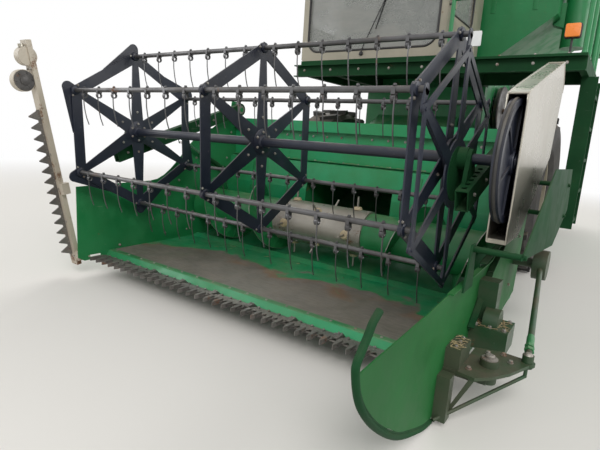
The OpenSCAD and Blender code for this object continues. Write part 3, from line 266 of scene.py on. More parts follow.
class EffectLibrary:
    """Builds each shared node group once."""

    def __init__(self) -> None:
        """Starts with no groups."""
        self.groups: dict[Effect, bpy.types.NodeTree] = {}

    def get(self, effect: Effect) -> bpy.types.NodeTree:
        """Gives a group, built on first use.

        Args:
            effect: Which group.

        Returns:
            The node tree.
        """
        if effect not in self.groups:
            builders: dict[Effect, Callable[[], bpy.types.NodeTree]] = {
                Effect.PATINA: self._patina,
                Effect.DUST: self._dust,
                Effect.SCUFF: self._scuff,
                Effect.RUST: self._rust,
            }
            self.groups[effect] = builders[effect]()
        return self.groups[effect]

    @staticmethod
    def _start(name: str, inputs: Sequence[tuple[str, str, object]], outputs: Sequence[tuple[str, str]],
               ) -> tuple[bpy.types.NodeTree, Tree, bpy.types.Node, bpy.types.Node]:
        """Makes an empty group with its sockets.

        Args:
            name: The group's name.
            inputs: Name, socket type and default of each input.
            outputs: Name and socket type of each output.

        Returns:
            The node tree, its wrapper, the input node and the output node.
        """
        group = bpy.data.node_groups.new(name, "ShaderNodeTree")
        for label, kind, default in inputs:
            socket = group.interface.new_socket(label, in_out="INPUT", socket_type=kind)
            if default is not None:
                socket.default_value = default
        for label, kind in outputs:
            group.interface.new_socket(label, in_out="OUTPUT", socket_type=kind)
        tree = Tree(group)
        return group, tree, tree.add("NodeGroupInput"), tree.add("NodeGroupOutput")

    def _patina(self) -> bpy.types.NodeTree:
        """Builds the slow change of a paint's shade over a panel, and its fine orange peel.

        Returns:
            The group, with Shade, Gloss and Height.
        """
        group, t, start, end = self._start(
            "patina",
            [("Place", "NodeSocketVector", None), ("Scale", "NodeSocketFloat", 1.0)],
            [("Shade", "NodeSocketFloat"), ("Gloss", "NodeSocketFloat"), ("Height", "NodeSocketFloat")])
        slow = t.noise(start.outputs["Place"], t.math("MULTIPLY", start.outputs["Scale"], 1.7), 5.0)
        patches = t.noise(start.outputs["Place"], t.math("MULTIPLY", start.outputs["Scale"], 7.0), 6.0, 0.62, 0.3)
        peel = t.noise(start.outputs["Place"], t.math("MULTIPLY", start.outputs["Scale"], 160.0), 2.0)
        t.link(t.ramp(t.math("ADD", t.math("MULTIPLY", slow, 0.65), t.math("MULTIPLY", patches, 0.35)),
                      0.34, 0.68), end.inputs["Shade"])
        t.link(t.ramp(t.math("ADD", t.math("MULTIPLY", slow, 0.35), t.math("MULTIPLY", patches, 0.65)),
                      0.35, 0.66), end.inputs["Gloss"])
        t.link(peel, end.inputs["Height"])
        return group

    def _dust(self) -> bpy.types.NodeTree:
        """Builds dust that lies on faces that look up and gathers in patches.

        Returns:
            The group, with Mask and Height.
        """
        group, t, start, end = self._start(
            "dust",
            [("Place", "NodeSocketVector", None), ("Amount", "NodeSocketFloat", 0.5),
             ("Scale", "NodeSocketFloat", 1.0)],
            [("Mask", "NodeSocketFloat"), ("Height", "NodeSocketFloat")])
        normal = t.add("ShaderNodeNewGeometry")
        split = t.add("ShaderNodeSeparateXYZ")
        t.link(normal.outputs["Normal"], split.inputs[0])
        up = t.ramp(split.outputs[2], 0.15, 0.95, 0.08, 1.0)
        patch = t.noise(start.outputs["Place"], t.math("MULTIPLY", start.outputs["Scale"], 4.5), 7.0, 0.62, 0.4)
        grain = t.noise(start.outputs["Place"], t.math("MULTIPLY", start.outputs["Scale"], 240.0), 3.0)
        lay = t.math("MULTIPLY", t.ramp(patch, 0.34, 0.66), up)
        speck = t.math("MULTIPLY", lay, t.ramp(grain, 0.25, 0.6, 0.55, 1.0))
        t.link(t.math("MULTIPLY", speck, start.outputs["Amount"], True), end.inputs["Mask"])
        t.link(t.math("MULTIPLY", speck, grain), end.inputs["Height"])
        return group

    def _scuff(self) -> bpy.types.NodeTree:
        """Builds scratches and chips that go through the paint.

        Returns:
            The group, with Mask and Height.
        """
        group, t, start, end = self._start(
            "scuff",
            [("Place", "NodeSocketVector", None), ("Amount", "NodeSocketFloat", 0.3),
             ("Scale", "NodeSocketFloat", 1.0)],
            [("Mask", "NodeSocketFloat"), ("Height", "NodeSocketFloat")])
        place = start.outputs["Place"]
        long_way = t.stretched(place, (3.0, 26.0, 26.0))
        cross = t.stretched(place, (24.0, 3.5, 20.0))
        fine = t.noise(long_way, start.outputs["Scale"], 4.0, 0.7)
        fine_cross = t.noise(cross, start.outputs["Scale"], 4.0, 0.7)
        where = t.noise(place, t.math("MULTIPLY", start.outputs["Scale"], 2.3), 4.0)
        chips = t.noise(place, t.math("MULTIPLY", start.outputs["Scale"], 34.0), 5.0, 0.75)
        lines = t.math("MAXIMUM", t.ramp(fine, 0.64, 0.72), t.ramp(fine_cross, 0.66, 0.74))
        marks = t.math("MAXIMUM", t.math("MULTIPLY", lines, t.ramp(where, 0.45, 0.62)),
                       t.math("MULTIPLY", t.ramp(chips, 0.66, 0.7), t.ramp(where, 0.4, 0.6)))
        t.link(t.math("MULTIPLY", marks, start.outputs["Amount"], True), end.inputs["Mask"])
        t.link(t.math("SUBTRACT", 1.0, marks), end.inputs["Height"])
        return group

    def _rust(self) -> bpy.types.NodeTree:
        """Builds blooms of rust with a darker middle.

        Returns:
            The group, with Colour, Mask and Height.
        """
        group, t, start, end = self._start(
            "rust",
            [("Place", "NodeSocketVector", None), ("Amount", "NodeSocketFloat", 0.3),
             ("Scale", "NodeSocketFloat", 1.0)],
            [("Colour", "NodeSocketColor"), ("Mask", "NodeSocketFloat"), ("Height", "NodeSocketFloat")])
        place = start.outputs["Place"]
        bloom = t.noise(place, t.math("MULTIPLY", start.outputs["Scale"], 6.0), 8.0, 0.66, 0.3)
        pit = t.noise(place, t.math("MULTIPLY", start.outputs["Scale"], 90.0), 4.0, 0.6)
        both = t.math("ADD", t.math("MULTIPLY", bloom, 0.75), t.math("MULTIPLY", pit, 0.25))
        level = t.math("ADD", both, t.math("MULTIPLY", start.outputs["Amount"], 0.35))
        t.link(t.mix(pit, (0.085, 0.036, 0.018), (0.20, 0.095, 0.045)), end.inputs["Colour"])
        t.link(t.ramp(level, 0.62, 0.72), end.inputs["Mask"])
        t.link(pit, end.inputs["Height"])
        return group


EFFECTS = EffectLibrary()
DUST_TAN: Colour = (0.34, 0.285, 0.21)


class Shader:
    """A material under construction, with its Principled shader and its place input."""

    def __init__(self, name: str) -> None:
        """Makes the material, its shader and the object place that the patterns read.

        Args:
            name: The material's name.
        """
        self.material = bpy.data.materials.new(name)
        self.material.use_nodes = True
        self.tree = Tree(self.material.node_tree)
        self.output = self.tree.add("ShaderNodeOutputMaterial")
        self.shader = self.tree.add("ShaderNodeBsdfPrincipled")
        self.tree.link(self.shader.outputs[0], self.output.inputs[0])
        self.place = self.tree.add("ShaderNodeTexCoord").outputs["Object"]

    def effect(self, effect: Effect, **values: object) -> bpy.types.Node:
        """Places a shared group in the material.

        Args:
            effect: Which group.
            **values: Its inputs by name.

        Returns:
            The group's node.
        """
        node = self.tree.add("ShaderNodeGroup")
        node.node_tree = EFFECTS.get(effect)
        self.tree.link(self.place, node.inputs["Place"])
        for name, value in values.items():
            self.tree.feed(node.inputs[name], value)
        return node

    def bump(self, height: bpy.types.NodeSocket, strength: float, distance: float) -> None:
        """Feeds a height to the shader's normal.

        Args:
            height: The height's socket.
            strength: Strength of the bump.
            distance: Depth in metres.
        """
        node = self.tree.add("ShaderNodeBump")
        node.inputs["Strength"].default_value = strength
        node.inputs["Distance"].default_value = distance
        self.tree.link(height, node.inputs["Height"])
        self.tree.link(node.outputs[0], self.shader.inputs["Normal"])

    def set(self, **values: object) -> None:
        """Sets shader inputs by their names, with spaces written as underscores."""
        for name, value in values.items():
            self.tree.feed(self.shader.inputs[name.replace("_", " ")], value)


@dataclass(frozen=True)
class PaintFinish:
    """Enamel with faded patches, dust, chips and rust."""

    name: str
    colour: Colour
    faded: Colour
    dust: float = 0.3
    dust_colour: Colour = DUST_TAN
    scuffs: float = 0.2
    rust: float = 0.05
    rough: float = 0.38
    rough_faded: float = 0.6
    coat: float = 0.15
    sheen: float = 0.4
    scale: float = 1.0

    def build(self) -> bpy.types.Material:
        """Builds the material.

        Returns:
            The material.
        """
        s = Shader(self.name)
        t = s.tree
        patina = s.effect(Effect.PATINA, Scale=self.scale)
        dust = s.effect(Effect.DUST, Amount=self.dust, Scale=self.scale)
        scuff = s.effect(Effect.SCUFF, Amount=self.scuffs, Scale=self.scale)
        rust = s.effect(Effect.RUST, Amount=self.rust, Scale=self.scale)
        paint = t.mix(patina.outputs["Shade"], self.colour, self.faded)
        bare = t.mix(scuff.outputs["Mask"], paint, (0.30, 0.29, 0.27))
        rusty = t.mix(rust.outputs["Mask"], bare, rust.outputs["Colour"])
        s.set(Base_Color=t.mix(dust.outputs["Mask"], rusty, self.dust_colour))
        gloss = t.ramp(patina.outputs["Gloss"], 0.0, 1.0, self.rough, self.rough_faded)
        dull = t.math("MAXIMUM", dust.outputs["Mask"], rust.outputs["Mask"])
        s.set(Roughness=t.math("ADD", gloss, t.math("MULTIPLY", dull, 0.3), True))
        s.set(Coat_Weight=self.coat, Coat_Roughness=0.25, Specular_IOR_Level=self.sheen)
        height = t.math("ADD", t.math("MULTIPLY", patina.outputs["Height"], 0.15),
                        t.math("MULTIPLY", scuff.outputs["Height"], 0.6))
        s.bump(t.math("ADD", height, t.math("MULTIPLY", dust.outputs["Height"], 0.5)), 0.16, 0.0012)
        return s.material


@dataclass(frozen=True)
class MetalFinish:
    """Bare metal with worn and rusty patches."""

    name: str
    bright: Colour
    dull: Colour
    metallic: float = 0.75
    dust: float = 0.3
    dust_colour: Colour = DUST_TAN
    rust: float = 0.2
    rough: float = 0.35
    rough_dull: float = 0.6
    scale: float = 1.0
    bump: float = 0.3

    def build(self) -> bpy.types.Material:
        """Builds the material.

        Returns:
            The material.
        """
        s = Shader(self.name)
        t = s.tree
        patina = s.effect(Effect.PATINA, Scale=self.scale * 2.0)
        dust = s.effect(Effect.DUST, Amount=self.dust, Scale=self.scale)
        rust = s.effect(Effect.RUST, Amount=self.rust, Scale=self.scale * 1.5)
        metal = t.mix(patina.outputs["Shade"], self.bright, self.dull)
        rusty = t.mix(rust.outputs["Mask"], metal, rust.outputs["Colour"])
        s.set(Base_Color=t.mix(dust.outputs["Mask"], rusty, self.dust_colour))
        cover = t.math("MAXIMUM", dust.outputs["Mask"], rust.outputs["Mask"])
        s.set(Metallic=t.math("MULTIPLY", t.math("SUBTRACT", 1.0, cover, True), self.metallic))
        gloss = t.ramp(patina.outputs["Gloss"], 0.0, 1.0, self.rough, self.rough_dull)
        s.set(Roughness=t.math("ADD", gloss, t.math("MULTIPLY", cover, 0.35), True))
        height = t.math("ADD", t.math("MULTIPLY", rust.outputs["Height"], 0.4),
                        t.math("MULTIPLY", patina.outputs["Height"], 0.2))
        s.bump(height, self.bump, 0.001)
        return s.material


@dataclass(frozen=True)
class RubberFinish:
    """Black rubber with dry dust in its hollows."""

    name: str
    colour: Colour = (0.018, 0.018, 0.018)
    dust: float = 0.6
    rough: float = 0.75

    def build(self) -> bpy.types.Material:
        """Builds the material.

        Returns:
            The material.
        """
        s = Shader(self.name)
        t = s.tree
        dust = s.effect(Effect.DUST, Amount=self.dust, Scale=1.4)
        patina = s.effect(Effect.PATINA, Scale=3.0)
        base = t.mix(patina.outputs["Shade"], self.colour, (0.05, 0.047, 0.042))
        s.set(Base_Color=t.mix(dust.outputs["Mask"], base, (0.26, 0.21, 0.15)))
        s.set(Roughness=self.rough)
        s.bump(patina.outputs["Height"], 0.3, 0.001)
        return s.material


@dataclass(frozen=True)
class GlassFinish:
    """Window glass under a film of harvest dust."""

    name: str
    tint: Colour = (0.42, 0.44, 0.42)
    film: Colour = (0.21, 0.195, 0.165)
    film_low: float = 0.18
    film_high: float = 0.62

    def build(self) -> bpy.types.Material:
        """Builds the material.

        Returns:
            The material.
        """
        s = Shader(self.name)
        t = s.tree
        haze = t.noise(s.place, 2.2, 6.0, 0.6, 0.5)
        wipes = t.noise(t.stretched(s.place, (1.0, 1.0, 6.0)), 3.5, 5.0, 0.6)
        film = t.ramp(t.math("ADD", t.math("MULTIPLY", haze, 0.7), t.math("MULTIPLY", wipes, 0.3)),
                      0.3, 0.7, self.film_low, self.film_high)
        s.set(Base_Color=t.mix(film, self.tint, self.film), Roughness=0.06, IOR=1.45)
        s.set(Alpha=t.math("ADD", film, 0.16, True), Metallic=0.0)
        s.material.surface_render_method = "BLENDED"
        return s.material


@dataclass(frozen=True)
class TableFinish:
    """The table's green paint, worn to bare brown metal where the crop slides over it."""

    name: str
    colour: Colour
    faded: Colour
    worn: Colour
    front_y: float
    rear_y: float
    floor_z: float

    def build(self) -> bpy.types.Material:
        """Builds the material.

        Returns:
            The material.
        """
        s = Shader(self.name)
        t = s.tree
        split = t.add("ShaderNodeSeparateXYZ")
        t.link(s.place, split.inputs[0])
        ragged = t.noise(t.stretched(s.place, (1.0, 1.6, 1.0)), 1.7, 8.0, 0.60, 0.5)
        fine = t.noise(t.stretched(s.place, (2.0, 9.0, 4.0)), 6.0, 6.0, 0.65)
        shift = t.math("ADD", t.math("MULTIPLY", t.math("SUBTRACT", ragged, 0.5), 0.95),
                       t.math("MULTIPLY", t.math("SUBTRACT", fine, 0.5), 0.10))
        side = t.math("ABSOLUTE", t.math("SUBTRACT", split.outputs[0], MID_X))
        y = t.math("ADD", t.math("ADD", split.outputs[1], shift), t.ramp(side, 0.7, 1.35, 0.0, 0.16))
        inside = t.math("MULTIPLY", t.ramp(split.outputs[1], self.front_y, self.front_y + 0.006),
                        t.ramp(y, self.rear_y - 0.022, self.rear_y + 0.022, 1.0, 0.0))
        low = t.ramp(split.outputs[2], self.floor_z - 0.012, self.floor_z + 0.012, 1.0, 0.0)
        worn = t.math("MULTIPLY", inside, low, True)
        edge_rust = t.math("MULTIPLY", t.ramp(y, self.rear_y - 0.16, self.rear_y - 0.02),
                           t.ramp(ragged, 0.42, 0.6))
        patina = s.effect(Effect.PATINA, Scale=1.2)
        dust = s.effect(Effect.DUST, Amount=0.22, Scale=1.3)
        scuff = s.effect(Effect.SCUFF, Amount=0.25, Scale=1.0)
        rust = s.effect(Effect.RUST, Amount=0.08, Scale=0.9)
        paint = t.mix(patina.outputs["Shade"], self.colour, self.faded)
        paint = t.mix(scuff.outputs["Mask"], paint, (0.25, 0.27, 0.22))
        metal = t.mix(t.ramp(fine, 0.35, 0.65), self.worn, tuple(c * 0.74 for c in self.worn))
        metal = t.mix(t.math("MULTIPLY", edge_rust, 0.55), metal, (0.26, 0.115, 0.045))
        metal = t.mix(t.math("MULTIPLY", rust.outputs["Mask"], 0.5), metal, rust.outputs["Colour"])
        colour = t.mix(worn, paint, metal)
        s.set(Base_Color=t.mix(t.math("MULTIPLY", dust.outputs["Mask"], 0.7), colour, DUST_TAN))
        gloss = t.ramp(patina.outputs["Gloss"], 0.0, 1.0, 0.3, 0.5)
        s.set(Roughness=t.math("ADD", gloss, t.math("MULTIPLY", worn, 0.12), True))
        s.set(Metallic=t.math("MULTIPLY", worn, 0.15))
        s.bump(t.math("ADD", t.math("MULTIPLY", fine, 0.4), scuff.outputs["Height"]), 0.25, 0.0015)
        return s.material


@dataclass(frozen=True)
class AugerFinish:
    """The auger's green paint, with its bare middle drum dusty on top."""

    name: str
    colour: Colour
    drum: Colour
    half: float

    def build(self) -> bpy.types.Material:
        """Builds the material.

        Returns:
            The material.
        """
        s = Shader(self.name)
        t = s.tree
        split = t.add("ShaderNodeSeparateXYZ")
        t.link(s.place, split.inputs[0])
        across = t.math("ABSOLUTE", t.math("SUBTRACT", split.outputs[0], MID_X))
        y = t.math("SUBTRACT", split.outputs[1], TIP_Y + AUGER_MIDDLE[0])
        z = t.math("SUBTRACT", split.outputs[2], AUGER_MIDDLE[1])
        reach = t.math("SQRT", t.math("ADD", t.math("MULTIPLY", y, y), t.math("MULTIPLY", z, z)))
        middle = t.math("LESS_THAN", across, self.half + 0.001)
        worn_edge = t.math("MULTIPLY", t.ramp(reach, 0.262, 0.2695), t.math("SUBTRACT", 1.0, middle))
        patina = s.effect(Effect.PATINA, Scale=1.4)
        dust = s.effect(Effect.DUST, Amount=0.35, Scale=1.2)
        scuff = s.effect(Effect.SCUFF, Amount=0.3, Scale=1.0)
        rust = s.effect(Effect.RUST, Amount=0.22, Scale=1.1)
        paint = t.mix(patina.outputs["Shade"], self.colour, GREEN_FADED)
        drum = t.mix(patina.outputs["Shade"], self.drum, tuple(c * 0.7 for c in self.drum))
        drum = t.mix(rust.outputs["Mask"], drum, rust.outputs["Colour"])
        colour = t.mix(middle, t.mix(scuff.outputs["Mask"], paint, (0.25, 0.26, 0.23)), drum)
        colour = t.mix(worn_edge, colour, (0.34, 0.33, 0.31))
        s.set(Base_Color=t.mix(dust.outputs["Mask"], colour, (0.26, 0.20, 0.13)))
        bare = t.math("MAXIMUM", worn_edge, t.math("MULTIPLY", middle, 0.6))
        s.set(Metallic=t.math("MULTIPLY", bare, t.math("SUBTRACT", 1.0, dust.outputs["Mask"], True)))
        s.set(Roughness=t.ramp(patina.outputs["Gloss"], 0.0, 1.0, 0.3, 0.48))
        s.bump(t.math("ADD", scuff.outputs["Height"], patina.outputs["Height"]), 0.2, 0.001)
        return s.material


Finish = Union[PaintFinish, MetalFinish, RubberFinish, GlassFinish, TableFinish, AugerFinish]


GREEN: Colour = (0.006, 0.150, 0.040)
GREEN_FADED: Colour = (0.014, 0.200, 0.062)
# Lighter copy of the harvest green for the table's unworn paint: partly the real vivid paint, partly painted light that
# brightens the band where the reel and auger shade it.
GREEN_BAND_PAINTED_LIGHT: Colour = (0.012, 0.270, 0.105)
# Dark green paint of the platform, ladder, divider and other frame parts, made darker still as painted shade for the
# shadow that they lie in.
DARK_GREEN: Colour = (0.005, 0.036, 0.012)
DARK_GREEN_FADED: Colour = (0.010, 0.058, 0.020)
DIRT_BROWN: Colour = (0.085, 0.060, 0.038)
PAINT_GREEN = PaintFinish("harvest_green", GREEN, GREEN_FADED)
PAINT_DARK_WITH_PAINTED_SHADE = PaintFinish("frame_green_painted_shade", DARK_GREEN, DARK_GREEN_FADED, dust=0.1, scuffs=0.12, rust=0.0, rough=0.55,
                         rough_faded=0.7, coat=0.0, sheen=0.1)
PAINT_OLIVE = PaintFinish("divider_green", (0.008, 0.085, 0.018), (0.016, 0.120, 0.030), dust=0.08, scuffs=0.12,
                          rust=0.0, rough=0.45, rough_faded=0.55, coat=0.0, sheen=0.15)
PAINT_DRIVE = PaintFinish("drive_green", (0.012, 0.062, 0.022), (0.045, 0.055, 0.030), dust=0.75,
                          dust_colour=DIRT_BROWN, scuffs=0.25, rust=0.05)
PAINT_BLUE = PaintFinish("reel_blue_black", (0.0055, 0.0075, 0.016), (0.012, 0.016, 0.030), dust=0.14, scuffs=0.15,
                         rust=0.0, rough=0.34, rough_faded=0.5)
PAINT_CREAM = PaintFinish("cab_beige", (0.255, 0.235, 0.18), (0.33, 0.30, 0.23), dust=0.4, scuffs=0.15)
PAINT_POST = PaintFinish("post_beige", (0.40, 0.35, 0.27), (0.47, 0.42, 0.34), dust=0.3, scuffs=0.3, rust=0.26)
METAL_STEEL = MetalFinish("worn_knife_steel", (0.26, 0.25, 0.235), (0.12, 0.11, 0.10), rust=0.15, dust=0.2)
METAL_DARK = MetalFinish("bare_dark_steel", (0.13, 0.13, 0.135), (0.07, 0.068, 0.068), rust=0.1, dust=0.2,
                         rough=0.32, rough_dull=0.5)
METAL_BOLT = MetalFinish("bolt_zinc", (0.38, 0.37, 0.34), (0.22, 0.20, 0.18), rust=0.3, dust=0.3)
METAL_GALVANISED = MetalFinish("galvanised", (0.50, 0.47, 0.40), (0.43, 0.405, 0.345), metallic=0.9, rust=0.0,
                               dust=0.0, rough=0.26, rough_dull=0.33, scale=0.25, bump=0.0)
METAL_CHROME = MetalFinish("ram_chrome", (0.75, 0.75, 0.76), (0.6, 0.6, 0.62), metallic=1.0, rust=0.0, dust=0.1,
                           rough=0.1, rough_dull=0.2)
METAL_CAST = MetalFinish("cast_black", (0.09, 0.085, 0.08), (0.045, 0.042, 0.04), metallic=0.4, rust=0.2, dust=0.4)
PLASTIC_DARK = PaintFinish("dark_plastic_skin", (0.012, 0.012, 0.013), (0.024, 0.024, 0.025), dust=0.3, scuffs=0.1,
                           rust=0.0, rough=0.5, rough_faded=0.65, coat=0.0)
PLASTIC_TAN = PaintFinish("finger_guide_tan", (0.42, 0.33, 0.19), (0.50, 0.41, 0.27), dust=0.2, scuffs=0.1, rust=0.0,
                          rough=0.5, rough_faded=0.6, coat=0.0)
LENS_ORANGE = PaintFinish("indicator_orange", (0.85, 0.22, 0.015), (0.75, 0.20, 0.02), dust=0.2, scuffs=0.0, rust=0.0,
                          rough=0.2, rough_faded=0.3, coat=0.5)
LENS_RED = PaintFinish("lamp_red", (0.45, 0.012, 0.010), (0.38, 0.015, 0.012), dust=0.25, scuffs=0.0, rust=0.0,
                       rough=0.2, rough_faded=0.3, coat=0.5)
LENS_CLEAR = MetalFinish("lamp_glass", (0.72, 0.73, 0.72), (0.60, 0.60, 0.58), metallic=0.2, rust=0.0, dust=0.3,
                         rough=0.08, rough_dull=0.2)
SEAT_VINYL = PaintFinish("seat_vinyl", (0.014, 0.014, 0.015), (0.03, 0.03, 0.032), dust=0.25, scuffs=0.1, rust=0.0,
                         rough=0.5, rough_faded=0.62, coat=0.0)
STRAW = PaintFinish("dry_straw", (0.25, 0.18, 0.09), (0.40, 0.31, 0.17), dust=0.1, scuffs=0.0, rust=0.0,
                    rough=0.6, rough_faded=0.75, coat=0.0)
TYRE_BLACK = RubberFinish("tyre_black")
HOSE_BLACK = RubberFinish("hose_black", dust=0.35, rough=0.55)
CAB_GLASS = GlassFinish("dusty_cab_glass")


class Wardrobe:
    """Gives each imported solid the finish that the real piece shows."""

    def __init__(self) -> None:
        """Builds the finishes that the solids use."""
        self.made: dict[str, bpy.types.Material] = {}
        self.by_slot: dict[str, Finish] = {
            Slot.GREEN.value: PAINT_GREEN,
            Slot.DARK_GREEN.value: PAINT_DARK_WITH_PAINTED_SHADE,
            Slot.OLIVE.value: PAINT_OLIVE,
            Slot.DARK_BLUE.value: PAINT_BLUE,
            Slot.CREAM.value: PAINT_CREAM,
            Slot.STEEL.value: METAL_STEEL,
            Slot.GALVANISED.value: METAL_GALVANISED,
            Slot.CHROME.value: METAL_CHROME,
            Slot.CAST.value: METAL_CAST,
            Slot.TYRE.value: TYRE_BLACK,
            Slot.GLASS.value: CAB_GLASS,
            Slot.SEAT.value: SEAT_VINYL,
            Slot.PLASTIC.value: PLASTIC_DARK,
        }
        self.by_node: dict[str, Finish] = {
            # The table takes the lighter green, which carries painted light on the band that the reel and auger shade.
            "header_table": TableFinish("worn_table", GREEN_BAND_PAINTED_LIGHT, GREEN_FADED, (0.195, 0.172, 0.147), TIP_Y + 0.252,
                                        TIP_Y + 0.80, TABLE_FLOOR_Z + 0.03),
            "auger": AugerFinish("auger_green_and_grey", GREEN, (0.34, 0.32, 0.28), DRUM_HALF),
            "side_knife_post": PAINT_POST,
            "knife_drive": PAINT_DRIVE,
        }

    def get(self, finish: "Finish") -> bpy.types.Material:
        """Gives a finish's material, built on first use.

        Args:
            finish: The finish.

        Returns:
            The material.
        """
        if finish.name not in self.made:
            self.made[finish.name] = finish.build()
        return self.made[finish.name]

    def dress(self) -> None:
        """Puts the finishes in the solids' material slots."""
        slots = {row["node"]: row["material_slot"] for row in frame["record"]["subparts"]}
        for name, solid in frame["nodes"].items():
            finish = self.by_node.get(name, self.by_slot[slots[name]])
            solid.data.materials.clear()
            solid.data.materials.append(self.get(finish))
            LOG.info("%s: %s", name, finish.name)


WARDROBE = Wardrobe()


class Piece:
    """Gathers shapes in the frame and makes them one object that rides on a body."""

    def __init__(self, name: str) -> None:
        """Starts an empty piece.

        Args:
            name: The piece's name.
        """
        self.name = name
        self.points: list[Vector] = []
        self.faces: list[tuple[int, ...]] = []

    def rings(self, rings: Sequence[Sequence[Vector]], closed: bool = False) -> None:
        """Joins rings of points to a skin.

        Args:
            rings: Rings with the same number of points.
            closed: Whether the last ring joins the first; otherwise both ends get a lid.
        """
        start, count = len(self.points), len(rings[0])
        for ring in rings:
            self.points.extend(ring)
        last = len(rings) if closed else len(rings) - 1
        for i in range(last):
            a, b = start + i * count, start + (i + 1) % len(rings) * count
            for k in range(count):
                n = (k + 1) % count
                self.faces.append((a + k, a + n, b + n, b + k))
        if not closed:
            self.faces.append(tuple(range(start + count - 1, start - 1, -1)))
            self.faces.append(tuple(range(len(self.points) - count, len(self.points))))

    def tube(self, path: Sequence[Vector], radius: float, sides: int = 10, closed: bool = False) -> None:
        """Sweeps a round section along a path.

        Args:
            path: The points of its middle.
            radius: The tube's radius.
            sides: Points round the section.
            closed: Whether the path is a loop.
        """
        rings: list[list[Vector]] = []
        side: Optional[Vector] = None
        count = len(path)
        for i, point in enumerate(path):
            before = path[i - 1] if i or closed else point
            after = path[(i + 1) % count] if i < count - 1 or closed else point
            along = (after - before).normalized()
            if side is None:
                side = along.orthogonal().normalized()
            side = (side - along * side.dot(along)).normalized()
            up = along.cross(side)
            rings.append([point + radius * (math.cos(a) * side + math.sin(a) * up)
                          for a in (2 * math.pi * k / sides for k in range(sides))])
        self.rings(rings, closed)

    def turned(self, base: Vector, axis: Vector, profile: Sequence[tuple[float, float]], sides: int = 16) -> None:
        """Turns a profile round an axis.

        Args:
            base: Where the axis starts.
            axis: Its direction.
            profile: Radius and height of each ring.
            sides: Points round a ring.
        """
        along = axis.normalized()
        side = along.orthogonal().normalized()
        up = along.cross(side)
        self.rings([[base + along * height + radius * (math.cos(a) * side + math.sin(a) * up)
                     for a in (2 * math.pi * k / sides for k in range(sides))] for radius, height in profile])

    def bolt(self, base: Vector, axis: Vector, across: float = 0.016) -> None:
        """Adds a hexagon bolt head on its washer.

        Args:
            base: Where it sits.
            axis: Direction away from the surface.
            across: Width over its corners.
        """
        r = across / 2
        self.turned(base, axis, [(r * 1.3, 0.0), (r * 1.3, r * 0.28)], 12)
        self.turned(base + axis.normalized() * r * 0.28, axis, [(r, 0.0), (r, r * 0.75), (r * 0.8, r * 0.95)], 6)

    def slab(self, outline: Sequence[Vector], shift: Vector) -> None:
        """Pushes a flat outline along a vector."""
        self.rings([list(outline), [p + shift for p in outline]])

    def box(self, low: Vector, high: Vector) -> None:
        """Adds a box between two corners."""
        self.slab([Vector((low.x, low.y, low.z)), Vector((high.x, low.y, low.z)), Vector((high.x, high.y, low.z)),
                   Vector((low.x, high.y, low.z))], Vector((0.0, 0.0, high.z - low.z)))

    def coil(self, middle: Vector, radius: float, wire: float, turns: float, width: float) -> list[Vector]:
        """Adds a spring coil about an axis along X.

        Args:
            middle: The coil's middle.
            radius: Radius to the wire's middle.
            wire: The wire's radius.
            turns: Turns of wire.
            width: Width along X.

        Returns:
            The path of the wire, so that a leg can go on from it.
        """
        steps = int(turns * 18)
        path = []
        for i in range(steps + 1):
            share = i / steps
            angle = math.pi / 2 + 2 * math.pi * turns * share
            path.append(middle + Vector(((share - 0.5) * width, radius * math.cos(angle), radius * math.sin(angle))))
        self.tube(path, wire, 7)
        return path

    def pillow(self, low: Vector, high: Vector, power: float) -> None:
        """Adds a crowned cushion between two corners.

        Args:
            low: Its lowest corner.
            high: Its highest corner.
            power: How square it is, from 0 for a box to 1 for an egg.
        """
        middle, half = (low + high) / 2, (high - low) / 2

        def bend(value: float, power_here: float) -> float:
            """Squares a value between -1 and 1 towards its ends."""
            return math.copysign(abs(value) ** power_here, value)

        rings = []
        for i in range(1, 20):
            rise = -math.pi / 2 + math.pi * i / 20
            ring = []
            for k in range(44):
                turn = 2 * math.pi * k / 44
                flat = bend(math.cos(rise), power)
                ring.append(middle + Vector((half.x * flat * bend(math.cos(turn), power * 0.6),
                                             half.y * flat * bend(math.sin(turn), power * 0.6),
                                             half.z * bend(math.sin(rise), 0.8))))
            rings.append(ring)
        self.rings(rings)

    def make(self, finish: "Finish", body: str, slot: Slot, bevel: float = 0.0) -> bpy.types.Object:
        """Makes the object, with its finish, on its body.

        Args:
            finish: Its finish.
            body: The CAD body that it rides on.
            slot: The record's slot; not used.
            bevel: Width of a bevel on its sharp edges, or 0.

        Returns:
            The object.
        """
        mesh = bpy.data.meshes.new(self.name)
        mesh.from_pydata([tuple(p) for p in self.points], [], self.faces)
        work = bmesh.new()
        work.from_mesh(mesh)
        bmesh.ops.recalc_face_normals(work, faces=work.faces)
        if bevel:
            sharp = [e for e in work.edges if len(e.link_faces) == 2 and e.calc_face_angle(0.0) > SHARP]
            bmesh.ops.bevel(work, geom=sharp, offset=bevel, segments=2, profile=0.6, affect="EDGES",
                            clamp_overlap=True)
        work.to_mesh(mesh)
        work.free()
        mesh.shade_smooth()
        mesh.set_sharp_from_angle(angle=SHARP)
        made = bpy.data.objects.new(self.name, mesh)
        bpy.context.scene.collection.objects.link(made)
        mesh.materials.append(WARDROBE.get(finish))
        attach(made, body)
        LOG.info("piece %s: %d faces on %s", self.name, len(mesh.polygons), body)
        return made


def arc(middle: Vector, first: Vector, second: Vector, radius: float, start: float, end: float, steps: int,
        ) -> list[Vector]:
    """Gives points on an arc.

    Args:
        middle: The arc's middle.
        first: Unit vector of angle 0.
        second: Unit vector of angle 90.
        radius: The arc's radius.
        start: First angle in degrees.
        end: Last angle in degrees.
        steps: Number of steps.

    Returns:
        The points.
    """
    angles = (math.radians(start + (end - start) * i / steps) for i in range(steps + 1))
    return [middle + radius * (math.cos(a) * first + math.sin(a) * second) for a in angles]


